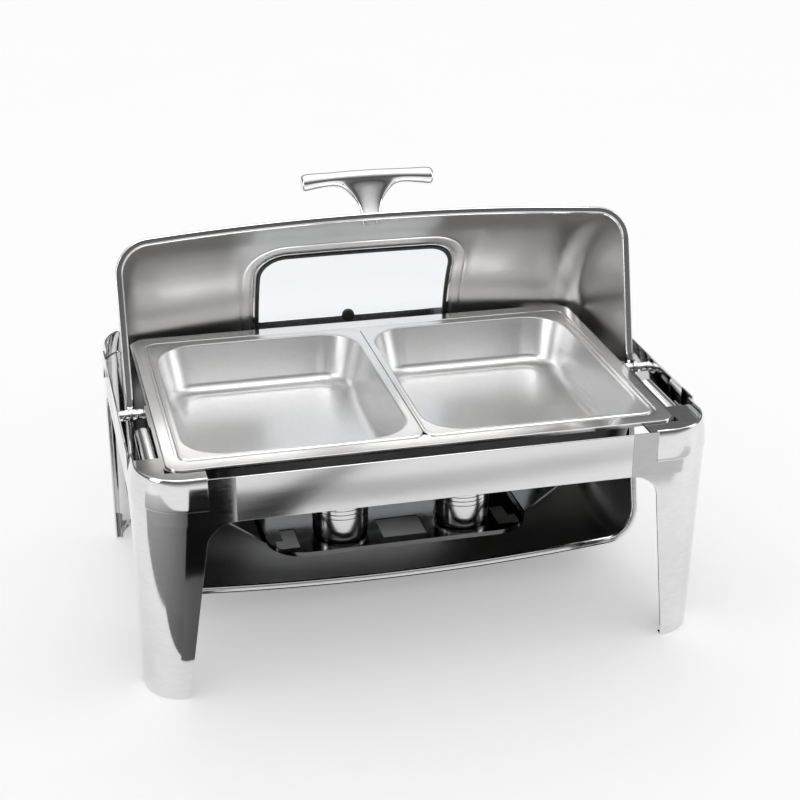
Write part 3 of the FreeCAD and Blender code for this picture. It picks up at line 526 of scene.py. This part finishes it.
def lid_columns():
    """(x, radius, outward x, outward r, share of the radius) of each column, left to right."""
    right = []
    for step in range(1, 11):
        x = PATCH_X + (LID_CROWN_RADIUS * math.sin(CROWN_HALF) - PATCH_X) * step / 10
        a = math.asin(x / LID_CROWN_RADIUS)
        right.append((x, barrel_radius(x), math.sin(a), math.cos(a), 1.0))
    for step in range(1, 13):
        a = CROWN_HALF + (math.pi / 2 - CROWN_HALF) * step / 12
        right.append((CORNER_X + LID_CORNER * math.sin(a), CORNER_R + LID_CORNER * math.cos(a),
                      math.sin(a), math.cos(a), 1.0))
    for share in (0.75, 0.5, 0.25, 0.04):
        right.append((LID_HALF_X, CORNER_R, 1.0, 0.0, share))
    middle = []
    across = 32
    for step in range(across + 1):
        x = PATCH_X * (2 * step / across - 1)
        a = math.asin(x / LID_CROWN_RADIUS)
        middle.append((x, barrel_radius(x), math.sin(a), math.cos(a), 1.0))
    left = [(-x, r, -nx, nr, share) for x, r, nx, nr, share in reversed(right)]
    return left + middle + right, len(left), len(left) + across


def lid_rows(low):
    """Angles from the front rim to the back rim, with the window patch's rows among them."""
    made = [low + (PATCH_FROM - low) * step / 10 for step in range(10)]
    first = len(made)
    made += [PATCH_FROM + (PATCH_TO - PATCH_FROM) * step / 30 for step in range(30)]
    last = len(made)
    made += [PATCH_TO + (math.pi - low - PATCH_TO) * step / 22 for step in range(23)]
    return made, first, last


def window_outline(grow, across, up):
    """(x, w) round the window's edge grown by a margin: four sides, each with two half corners."""
    half_x = WINDOW_HALF_X + grow
    half_w = WINDOW_HALF_W + grow
    corner = WINDOW_CORNER + grow
    eighth = corner * math.pi / 4
    made = []
    for quarter, count in enumerate((across, up, across, up)):
        a, b = (half_x, half_w) if quarter % 2 == 0 else (half_w, half_x)
        straight = 2 * (a - corner)
        whole = straight + 2 * eighth
        for step in range(count):
            s = whole * step / count
            if s < eighth:
                t = math.radians(-45) + s / corner
                u = -(a - corner) + corner * math.sin(t)
                v = -(b - corner) - corner * math.cos(t)
            elif s < eighth + straight:
                u = -(a - corner) + (s - eighth)
                v = -b
            else:
                t = (s - eighth - straight) / corner
                u = (a - corner) + corner * math.sin(t)
                v = -(b - corner) - corner * math.cos(t)
            turned = ((u, v), (-v, u), (-u, -v), (v, -u))[quarter]
            made.append(turned)
    return made


def embossed(distance):
    """How far the sheet is pushed out at a distance from the window's edge."""
    share = min(max((distance - PRESSED_FROM) / PRESSED_RUN, 0.0), 1.0)
    step = 1.0 - share * share * (3 - 2 * share)
    ridge = math.exp(-((distance - RIDGE_AT) / RIDGE_WIDTH) ** 2)
    return PRESSED_RISE * step + RIDGE_RISE * ridge


def band_faces(inner, outer):
    """Faces between two closed rings of point numbers."""
    following = list(range(1, len(inner))) + [0]
    return [(inner[i], outer[i], outer[k], inner[k]) for i, k in enumerate(following)]


def lid_grid(columns, patch_columns):
    """The dome without its window's patch.

    Gives its points and faces, the number of rows, the patch's border and the border's steps.
    """
    points = []
    for x, r, nx, nr, share in columns:
        angles, patch_low, patch_high = lid_rows(math.asin(LID_FOOT_RADIUS / r))
        middle = Vector((x, 0, LID_RIM_Z + LID_FOOT_RADIUS))
        points += [middle + (on_barrel(x, r, angle) - middle) * share for angle in angles]
    rows = len(angles)
    patch_left, patch_right = patch_columns
    faces = []
    for i in range(len(columns) - 1):
        for j in range(rows - 1):
            inside = patch_left <= i < patch_right and patch_low <= j < patch_high
            if not inside:
                a = i * rows + j
                faces.append((a, a + rows, a + rows + 1, a + 1))
    faces.append(tuple(range(rows)))
    faces.append(tuple(reversed(range((len(columns) - 1) * rows, len(columns) * rows))))
    across = range(patch_right - patch_left)
    up = range(patch_high - patch_low)
    border = [(patch_left + step) * rows + patch_low for step in across]
    border += [patch_right * rows + patch_low + step for step in up]
    border += [(patch_right - step) * rows + patch_high for step in across]
    border += [patch_left * rows + patch_high - step for step in up]
    return points, faces, rows, border, (len(across), len(up))


def lid_patch(points, faces, border, steps):
    """Adds the embossed rings from the window's edge out to the patch's border."""
    rings = []
    for grow in (0, 2.5, 5, 6.5, 7.4, 8.3, 9.2, 10, 12.5, 15.5, 17, 18, 19, 20, 21, 22.5):
        outline = window_outline(grow * MM, *steps)
        rings.append(range(len(points), len(points) + len(outline)))
        points += [on_window(x, w, embossed(grow * MM)) for x, w in outline]
    rings.append(border)
    for inner, outer in zip(rings, rings[1:]):
        faces += band_faces(inner, outer)


def lid_flange(points, faces, columns, rows):
    """Adds the turned-out flange and its rolled edge round the dome's foot."""
    loop = [(i * rows, columns[i], -1) for i in range(len(columns))]
    loop += [(i * rows + rows - 1, columns[i], 1) for i in reversed(range(len(columns)))]
    section = arc_points((2 * MM, 3 * MM), 2 * MM, 180, 270, 5)[1:]
    section += [(3.8 * MM, 1 * MM)]
    section += arc_points((5.6 * MM, 1.9 * MM), 0.9 * MM, -90, 200, 14)
    previous = [index for index, column, sign in loop]
    for out, rise in section:
        ring = range(len(points), len(points) + len(loop))
        for index, (x, r, nx, nr, share), sign in loop:
            points.append(Vector((x + nx * out, sign * (r * share + nr * out), LID_RIM_Z + rise)))
        faces += band_faces(previous, ring)
        previous = ring


def lid_sheet():
    """The pressed dome with its embossed window frame, turned-out flange and rolled edge."""
    columns, patch_left, patch_right = lid_columns()
    points, faces, rows, border, steps = lid_grid(columns, (patch_left, patch_right))
    lid_patch(points, faces, border, steps)
    first_flange = len(faces)
    lid_flange(points, faces, columns, rows)
    made = piece("lid_pressed_dome", opened(points), faces, "lid",
                 [MIRROR, SATIN, MIRROR, MIRROR], ["lid_shell", "lid_rim_wire"], sharp=50)
    for face in made.data.polygons[first_flange:]:
        face.material_index = 2
    thicken(made, LID_WALL, inner_paint=1)
    soften(made, 0.2 * MM, angle=60)


def window_frame(name, section, paint, replaced):
    """A closed section swept round the window: (distance out from its edge, offset) points."""
    rings = [[on_window(x, w, offset) for x, w in window_outline(grow, *WINDOW_STEPS)]
             for grow, offset in section]
    points, faces = skin(rings + rings[:1])
    points = points[:-len(rings[0])]
    faces = [tuple(i % len(points) for i in face) for face in faces]
    piece(name, opened(points), faces, "lid", [paint], replaced, sharp=60)


def rounded_section(u0, u1, v0, v1, corner):
    """A closed rounded rectangle as (u, v) points."""
    made = []
    corners = ((u1 - corner, v1 - corner), (u0 + corner, v1 - corner),
               (u0 + corner, v0 + corner), (u1 - corner, v0 + corner))
    for quadrant, centre in enumerate(corners):
        made += arc_points(centre, corner, 90 * quadrant, 90 * quadrant + 90, 3)
    return made


def window_trims():
    """The rubber seal and the bright rings that hold it on both faces of the sheet."""
    gasket = rounded_section(-3.0 * MM, 1.4 * MM, -3.9 * MM, 1.7 * MM, 1.1 * MM)
    window_frame("window_gasket_rubber", gasket, GASKET, ["window_gasket"])
    inner = rounded_section(0.9 * MM, 5.0 * MM, -1.9 * MM, 0.1 * MM, 0.95 * MM)
    window_frame("window_trim_inside", inner, MIRROR, ["window_trim"])
    outer = rounded_section(0.9 * MM, 4.6 * MM, 0.9 * MM, 2.2 * MM, 0.6 * MM)
    window_frame("window_trim_outside", outer, MIRROR, [])


def window_pane():
    """The curved pane: its outer face, edge and inner face in one skin."""
    rings = []
    for offset, order in ((-0.1 * MM, 1), (-2.9 * MM, -1)):
        shares = [0.04, 0.2, 0.35, 0.5, 0.65, 0.8, 0.92, 1.0][::order]
        for share in shares:
            rings.append([on_window(x * share, w * share, offset)
                          for x, w in window_outline(-1.6 * MM, *WINDOW_STEPS)])
    points, faces = skin(rings, first=True, last=True)
    piece("window_glass_pane", opened(points), [tuple(reversed(face)) for face in faces], "lid",
          [GLASS], ["window_glass"])


def handle_bar(points, faces):
    """Adds the bar's cage and returns the ring of points round the gap for its neck."""
    bar = LID_RADIUS + HANDLE_REACH - HANDLE_BAR_DROP
    span = HANDLE_HALF_SPAN / MM
    half = [(0, 0.0, 0.90), (16, -0.1, 0.90), (34, -0.6, 0.90), (52, -1.4, 0.94),
            (span - 12, -2.4, 1.10), (span - 3.0, -3.4, 1.16), (span - 0.2, -3.8, 0.66)]
    stations = [(-x, drop, share) for x, drop, share in reversed(half[1:])] + half
    shape = [(0, 1), (0.75, 0.75), (1, 0), (0.75, -0.75), (0, -1), (-0.75, -0.75), (-1, 0),
             (-0.75, 0.75)]
    deep, tall = HANDLE_BAR_HALF
    for x, drop, share in stations:
        for depth, rise in shape:
            points.append(Vector((x * MM, depth * share * deep,
                                  bar + (drop + 1.3 * (1 - share)) * MM + rise * share * tall)))
    middle = len(half) - 1
    for i in range(len(stations) - 1):
        for k in range(8):
            under = k in (3, 4) and middle - 2 <= i < middle + 2
            if not under:
                a = i * 8 + k
                b = i * 8 + (k + 1) % 8
                faces.append((a, b, b + 8, a + 8))
    faces.append(tuple(reversed(range(8))))
    faces.append(tuple(range(len(points) - 8, len(points))))
    ring = [i * 8 + 3 for i in range(middle - 2, middle + 3)]
    ring += [(middle + 2) * 8 + 4]
    ring += [i * 8 + 5 for i in range(middle + 2, middle - 3, -1)]
    ring += [(middle - 2) * 8 + 4]
    return ring


def handle_neck(points, faces, ring):
    """Adds the flared neck's cage from the bar's gap down to the lid."""
    low = LID_RADIUS + 0.3 * MM
    shape = [(-1, 0.72), (-0.5, 0.95), (0, 1), (0.5, 0.95), (1, 0.72), (1.12, 0), (1, -0.72),
             (0.5, -0.95), (0, -1), (-0.5, -0.95), (-1, -0.72), (-1.12, 0)]
    for rise, half_x, half_y in ((35.5, 23.0, 6.0), (25.0, 14.6, 5.8), (12, 11.6, 6.0),
                                 (3.5, 12.4, 7.0), (0, 12.8, 7.4)):
        new = range(len(points), len(points) + len(shape))
        points += [Vector((u * half_x * MM, v * half_y * MM, low + rise * MM)) for u, v in shape]
        faces += band_faces(ring, new)
        ring = new
    faces.append(tuple(ring))


def handle():
    """A cast T handle grown from a coarse cage by subdivision."""
    points = []
    faces = []
    handle_neck(points, faces, handle_bar(points, faces))
    turn = Matrix.Rotation(math.pi / 2 - HANDLE_ANGLE, 4, "X")
    axis = Vector((0, 0, LID_RIM_Z))
    placed = [axis + turn @ p for p in points]
    made = piece("lid_handle_cast", opened(placed), faces, "lid", [CHROME],
                 ["lid_handle"], sharp=180)
    smooth = made.modifiers.new("smooth", "SUBSURF")
    smooth.levels = 3
    smooth.render_levels = 3


# ---------------------------------------------------------------- stand

def between(first, second, share):
    """A value at a share of the way from the first to the second."""
    return first + (second - first) * share


def leg_rows():
    """(z, outline half sizes and corner, where the sheet starts at front and side) upward."""
    band_low, band_high = (corner.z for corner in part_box("front_band"))
    knee_low = band_low - LEG_KNEE
    rows = []

    def add(z, inset, front, side):
        share = min(z / band_low, 1.0)
        half_x = between(FOOT_HALF[0], STAND_HALF[0], share)
        half_y = between(FOOT_HALF[1], STAND_HALF[1], share)
        corner = between(FOOT_CORNER, STAND_CORNER, share)
        front = min(front, half_x - corner - STAND_EDGE)
        side = min(side, half_y - corner - STAND_EDGE)
        rows.append((z, half_x - inset, half_y - inset, corner - inset, front, side))

    for inset, z in ((FOOT_LIP, 0.0), (3 * MM, 0.0), (1.2 * MM, 0.35 * MM), (0.3 * MM, 1.3 * MM),
                     (0.0, 2.8 * MM)):
        add(z, inset, 1.0, 1.0)
    foot_x = FOOT_HALF[0] - FOOT_CORNER
    foot_y = FOOT_HALF[1] - FOOT_CORNER
    for step in range(1, 11):
        share = step / 10
        add(knee_low * share, 0.0, between(foot_x, LEG_INNER[0], share),
            between(foot_y, LEG_INNER[1], share))
    for step in range(1, 11):
        a = math.radians(90 * step / 10)
        add(knee_low + LEG_KNEE * math.sin(a), 0.0,
            between(JOINT_AT[0], LEG_INNER[0], math.cos(a)),
            between(JOINT_AT[1], LEG_INNER[1], math.cos(a)))
    for z in (COLLAR_LAP, band_high):
        add(z, 0.0, *JOINT_AT)
    return rows


def corner_points(line, z, flip_x, flip_y):
    """The (x, y) points of a corner's outline at a height, turned to one of the four corners."""
    return [Vector((-x if flip_x else x, -y if flip_y else y, z)) for x, y in line]


def corner_faces(rows, count, flip_x, flip_y, skipped=()):
    """Faces of an open grid of rows, facing outward at each of the four corners."""
    faces = []
    for row in range(rows - 1):
        for i in range(count - 1):
            if (row, i) not in skipped:
                a = row * count + i
                face = (a, a + count, a + count + 1, a + 1)
                faces.append(face if flip_x == flip_y else tuple(reversed(face)))
    return faces


def leg_piece(name, flip_x, flip_y):
    """A leg's sheet: two tapering wings round a corner, a knee into the bands and a foot lip."""
    band_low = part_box("front_band")[0].z
    points = []
    rows = leg_rows()
    for z, half_x, half_y, corner, front, side in rows:
        tangent_x = half_x - corner
        tangent_y = half_y - corner
        split_x = COLLAR_COVER[0] if z >= band_low else between(front, tangent_x, 0.6)
        split_y = COLLAR_COVER[1] if z >= band_low else between(side, tangent_y, 0.6)
        line = [(between(front, split_x, step / 3), half_y) for step in (0, 1, 2)]
        line += [(between(split_x, tangent_x, step / 3), half_y) for step in (0, 1, 2)]
        line += arc_points((tangent_x, tangent_y), corner, 90, 0, 18)
        line += [(half_x, between(split_y, tangent_y, step / 3)) for step in (2, 1, 0)]
        line += [(half_x, between(side, split_y, step / 3)) for step in (2, 1, 0)]
        points += corner_points(line, z, flip_x, flip_y)
    count = len(line)
    under_collar = [(len(rows) - 2, i) for i in range(3, count - 4)]
    faces = corner_faces(len(rows), count, flip_x, flip_y, under_collar)
    made = piece("leg_sheet_" + name, points, faces, "stand", [MIRROR],
                 ["leg_" + name], sharp=50)
    thicken(made, LEG_WALL)
    soften(made, 0.45 * MM, angle=55)


def collar_piece(name, flip_x, flip_y):
    """The raised band round a corner's top, bulging out and leaning in above its shoulder."""
    front, side = COLLAR_INNER
    profile = [(0.1, 232.0), (0.8, 232.1), (1.1, 232.7), (1.15, 233.8), (0.95, 237.0),
               (0.5, 242.0), (0.0, 246.5), (-0.5, 250.5), (-1.1, 254.5), (-1.8, 258.5),
               (-2.6, 262.0), (-3.3, 264.8), (-4.1, 266.5), (-5.0, 267.0)]
    points = []
    for out, z in in_metres(profile):
        half_x = STAND_HALF[0] + out
        half_y = STAND_HALF[1] + out
        corner = STAND_CORNER + out
        line = [(between(front, half_x - corner, step / 3), half_y) for step in (0, 1, 2)]
        line += arc_points((half_x - corner, half_y - corner), corner, 90, 0, 24)
        line += [(half_x, between(side, half_y - corner, step / 3)) for step in (2, 1, 0)]
        points += corner_points(line, z, flip_x, flip_y)
    faces = corner_faces(len(profile), len(line), flip_x, flip_y)
    made = piece("collar_pressed_" + name, points, faces, "stand", [MIRROR],
                 ["collar_" + name], sharp=50)
    thicken(made, COLLAR_WALL)
    soften(made, 0.35 * MM, angle=55)


def strip(name, node, along, paint):
    """A flat strip along X (0) or Y (1), with rounded long edges and eased ends."""
    low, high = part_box(node)
    other = 1 - along
    wall = high[other] - low[other]
    section = rounded_section(low[other], high[other], low.z, high.z, 0.45 * wall)
    ends = [(low[along], 0.35 * MM), (low[along] + 0.1 * MM, 0.12 * MM),
            (low[along] + 0.4 * MM, 0.0)]
    ends += [(low[along] + high[along] - at, inset) for at, inset in reversed(ends)]
    middle = (0.5 * (low[other] + high[other]), 0.5 * (low.z + high.z))
    rings = []
    for at, inset in ends:
        ring = []
        for u, v in section:
            p = Vector((0, 0, v - math.copysign(inset, v - middle[1])))
            p[other] = u - math.copysign(inset, u - middle[0])
            p[along] = at
            ring.append(p)
        rings.append(ring)
    points, faces = skin(rings, first=True, last=True)
    if along == 1:
        faces = [tuple(reversed(face)) for face in faces]
    piece(name, points, faces, "stand", [paint], [node], sharp=50)


def stand():
    """Legs and collars at the four corners, and the strips between them."""
    for name, flip_x, flip_y in (("front_left", True, True), ("front_right", False, True),
                                 ("rear_left", True, False), ("rear_right", False, False)):
        leg_piece(name, flip_x, flip_y)
        collar_piece(name, flip_x, flip_y)
    strip("front_band_folded", "front_band", 0, BAND)
    strip("rear_band_folded", "rear_band", 0, BAND)
    strip("rail_folded_left", "rail_left", 1, MIRROR)
    strip("rail_folded_right", "rail_right", 1, MIRROR)


# ---------------------------------------------------------------- burners and small parts

def burner_cup(side):
    """A spun cup with a rounded foot and one bead under its mouth."""
    node = "burner_cup_" + side
    low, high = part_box(node)
    r = 0.5 * (high.x - low.x) / MM
    tall = (high.z - low.z) / MM
    outside = [(r - 12, 0.4), (r - 6, 0.0), (r - 3.4, 0.5), (r - 1.5, 1.9), (r - 0.4, 4.2),
               (r, 7), (r, tall - 6), (r - 0.5, tall - 5.4), (r - 0.5, tall - 4.6),
               (r, tall - 4), (r, tall - 0.4), (r - 0.3, tall)]
    inside = [(r - 0.9, tall), (r - 1.2, tall - 0.4), (r - 1.2, 7.5), (r - 2.6, 4.0),
              (r - 7, 2.2), (2.0, 2.0)]
    at = Vector((0.5 * (low.x + high.x), 0.5 * (low.y + high.y), low.z))
    lathe("burner_cup_spun_" + side, in_metres(outside + inside), at, (0, 0, 1), node,
          BURNER, [node], steps=72)


def burner_cap(side):
    """A spun cover as wide as its cup: a plug below, a beaded skirt and a lipped mouth."""
    node = "burner_cap_" + side
    low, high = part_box(node)
    cup_low, cup_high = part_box("burner_cup_" + side)
    r = 0.5 * (cup_high.x - cup_low.x) / MM
    tall = (high.z - low.z) / MM
    mouth = BURNER_MOUTH / MM
    outside = [(r - 2.6, 0.0), (r - 1.5, 0.3), (r - 1.5, 8.0), (r - 0.3, 8.1), (r, 8.4),
               (r, 12.5), (r - 0.6, 13.0), (r - 0.6, 13.6), (r, 14.1), (r, tall - 5),
               (r - 0.5, tall - 2.6), (r - 1.8, tall - 0.9), (r - 3.8, tall - 0.1),
               (r - 7, tall), (mouth + 2.5, tall), (mouth + 1.2, tall - 0.2),
               (mouth + 0.4, tall - 0.8), (mouth, tall - 1.6)]
    inside = [(mouth + 0.2, tall - 2.0), (r - 4, tall - 2.0), (r - 2.7, tall - 3.6), (r - 2.7, 0.5)]
    at = Vector((0.5 * (low.x + high.x), 0.5 * (low.y + high.y), low.z))
    lathe("burner_cap_spun_" + side, in_metres(outside + inside), at, (0, 0, 1), node,
          BURNER, [node], steps=72)


def pivot_spacers(side):
    """The sleeves on a pivot pin, with eased ends."""
    ease = 0.6 * MM
    for part in ("spacer_inner_", "spacer_outer_"):
        low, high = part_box(part + side)
        r = 0.5 * (high.z - low.z)
        length = high.x - low.x
        profile = [(r - ease - 1.2 * MM, 0), (r - ease, 0), (r - 0.3 * ease, 0.3 * ease),
                   (r, ease), (r, length - ease), (r - 0.3 * ease, length - 0.3 * ease),
                   (r - ease, length), (r - ease - 1.2 * MM, length)]
        lathe(part + "turned_" + side, profile, (low.x, PIVOT.y, PIVOT.z), (1, 0, 0), "stand",
              CHROME, [part + side])


def button():
    """The rubber stop on the rear band, rounded at both ends."""
    low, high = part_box("rear_bumper")
    r = 0.5 * (high.x - low.x)
    length = high.y - low.y
    profile = [(r - 3.2 * MM, 0), (r - 1.4 * MM, 0.25 * MM), (r - 0.4 * MM, 1.0 * MM),
               (r, 2.2 * MM), (r, length - 2.2 * MM), (r - 0.4 * MM, length - 1.0 * MM),
               (r - 1.4 * MM, length - 0.25 * MM), (r - 3.2 * MM, length)]
    lathe("rear_button_rubber", profile, (0.5 * (low.x + high.x), low.y, 0.5 * (low.z + high.z)),
          (0, 1, 0), "stand", RUBBER, ["rear_bumper"])


# ---------------------------------------------------------------- world, floor and lights

# Shades are sheets seen only in reflections: painted dark and grey reflections in the legs, collars
# and bands, and the one under the stand paints shade into the steel above it.
# A shade's name, its corners on the floor, and its grey at its lowest and at its highest X.
SHADES = (
    ("corner", ((-1.20, -0.80), (-0.25, -0.80), (-0.25, -0.270), (-0.43, -0.30), (-0.64, -0.15),
                (-1.20, -0.15)), 0.95, 0.15),
    ("knee", ((-0.300, -0.43), (-0.187, -0.43), (-0.200, -0.27), (-0.300, -0.27)), 0.22, 0.12),
    ("left", ((-0.10, -2.5), (0.104, -2.5), (-0.187, -0.42), (-0.300, -0.42)), 0.008, 0.008),
    ("middle", ((-0.133, -0.80), (1.00, -0.80), (1.00, -0.50), (-0.174, -0.50)), 0.70, 0.95),
    ("under", ((-0.30, -0.20), (0.30, -0.20), (0.30, 0.18), (-0.30, 0.18)), 0.02, 0.015),
)
# A lamp's name, place, target, size and power.
LAMPS = (
    ("overhead", (0.0, -0.5, 2.2), (0, 0, 0.2), (2.2, 1.0), 22),
    ("left_window", (-2.3, -0.9, 1.1), (0, 0, 0.25), (1.0, 1.6), 14),
    ("right_window", (2.4, -0.6, 1.2), (0, 0, 0.25), (0.9, 1.6), 10),
)
WORLD_PLAIN = (0.74, 0.74, 0.74)
WORLD_SEEN = (0.96, 0.96, 0.96)
# The greys that reflections meet, from straight down (0) past the horizon (0.5) to the top (1).
WORLD_FOOT = 0.8
WORLD_TOP = 1.2
WORLD_BANDS = ((0.50, 0.55), (0.55, 0.18), (0.66, 0.08), (0.74, 0.30), (0.84, 0.95))
FLOOR_REACH = 9.0
FLOOR_GLOW = 0.29


def world():
    """Plain light for matt surfaces, grey bands for reflections, near white for the camera."""
    made = bpy.data.worlds.new("studio")
    bpy.context.scene.world = made
    made.use_nodes = True
    tree = made.node_tree
    background = tree.nodes["Background"]
    where = tree.nodes.new("ShaderNodeTexCoord")
    parts = tree.nodes.new("ShaderNodeSeparateXYZ")
    tree.links.new(where.outputs["Generated"], parts.inputs["Vector"])
    colours = tree.nodes.new("ShaderNodeValToRGB")
    height = combine(tree, "ADD", combine(tree, "MULTIPLY", parts.outputs["Z"], 0.5), 0.5)
    tree.links.new(height, colours.inputs["Fac"])
    stops = colours.color_ramp.elements
    stops[0].color = (WORLD_FOOT, WORLD_FOOT, WORLD_FOOT, 1)
    stops[1].color = (WORLD_TOP, WORLD_TOP, WORLD_TOP, 1)
    for position, grey in WORLD_BANDS:
        stops.new(position).color = (grey, grey, grey, 1)
    rays = tree.nodes.new("ShaderNodeLightPath")
    lit = blend_colours(tree, rays.outputs["Is Glossy Ray"], WORLD_PLAIN, colours.outputs["Color"])
    direct = combine(tree, "MAXIMUM", rays.outputs["Is Camera Ray"],
                     rays.outputs["Is Transmission Ray"])
    tree.links.new(blend_colours(tree, direct, lit, WORLD_SEEN), background.inputs["Color"])


def stage_sheet(name, points):
    """A flat face of the studio from its points in order."""
    mesh = bpy.data.meshes.new(name)
    mesh.from_pydata(points, [], [tuple(range(len(points)))])
    made = bpy.data.objects.new(name, mesh)
    bpy.context.scene.collection.objects.link(made)
    return made


def floor():
    """A pale round floor that glows a little, so that it stays even to its edge."""
    ring = arc_points((0, 0), FLOOR_REACH, 0, 360, 96)[:-1]
    made = stage_sheet("floor", [(x, y, 0) for x, y in ring])
    paint, tree, shader = material("floor_paint", (0.9, 0.9, 0.9), 0.6, metallic=0.0)
    shader.inputs["Specular IOR Level"].default_value = 0.2
    fine = noise(tree, 3.0)
    tree.links.new(blend_colours(tree, fine, (0.94, 0.94, 0.94), (0.96, 0.96, 0.96)),
                   shader.inputs["Base Color"])
    shader.inputs["Emission Color"].default_value = (1, 1, 1, 1)
    shader.inputs["Emission Strength"].default_value = FLOOR_GLOW
    made.data.materials.append(paint)


def softbox(name, at, target, size, power):
    """A soft lamp that only reflections see, so that the floor stays even."""
    lamp = bpy.data.lights.new(name, "AREA")
    lamp.shape = "RECTANGLE"
    lamp.size, lamp.size_y = size
    lamp.energy = power
    made = bpy.data.objects.new(name, lamp)
    made.location = at
    made.rotation_euler = (Vector(target) - Vector(at)).to_track_quat("-Z", "Y").to_euler()
    made.visible_diffuse = False
    bpy.context.scene.collection.objects.link(made)


def shade(name, corners, lift, grey_left, grey_right):
    """A sheet on the floor that only reflections see, in a grey that changes along X; it puts
    painted reflections and painted shade into the steel above it.
    """
    made = stage_sheet(name, [(x, y, lift) for x, y in corners])
    paint, tree, shader = material(name + "_paint", (grey_left,) * 3, 0.9, metallic=0.0)
    shader.inputs["Specular IOR Level"].default_value = 0.0
    along = ramp(tree, place_along(tree, "X"), 0.0, 1.0, start=min(x for x, y in corners),
                 stop=max(x for x, y in corners))
    colour = blend_colours(tree, along, (grey_left,) * 3, (grey_right,) * 3)
    tree.links.new(colour, shader.inputs["Base Color"])
    made.data.materials.append(paint)
    made.visible_camera = False
    made.visible_shadow = False
    made.visible_diffuse = False
    made.visible_transmission = False


def camera():
    """The camera at the photograph's angle."""
    lens = bpy.data.cameras.new("camera")
    lens.lens = CAMERA_LENS
    lens.sensor_width = 36
    made = bpy.data.objects.new("camera", lens)
    made.location = CAMERA_AT
    turn = Euler((math.radians(90 - CAMERA_PITCH), 0, math.radians(-CAMERA_YAW)), "XYZ")
    roll = Matrix.Rotation(math.radians(CAMERA_ROLL), 3, "Z")
    made.rotation_euler = (turn.to_matrix() @ roll).to_euler()
    bpy.context.scene.collection.objects.link(made)
    bpy.context.scene.camera = made


def studio():
    """The world, the floor, the lamps and the shades, each shade a little above the last."""
    bpy.context.scene.view_settings.view_transform = "Standard"
    world()
    floor()
    for lamp in LAMPS:
        softbox(*lamp)
    for order, (name, corners, grey_left, grey_right) in enumerate(SHADES):
        shade("shade_" + name, corners, (2 + order) * MM, grey_left, grey_right)


# ---------------------------------------------------------------- run

dress_cad()
food_pans()
water_pan()
lid_sheet()
window_trims()
window_pane()
handle()
stand()
for end in SIDES:
    burner_cup(end)
    burner_cap(end)
for end in SIDES:
    pivot_spacers(end)
button()
camera()
studio()
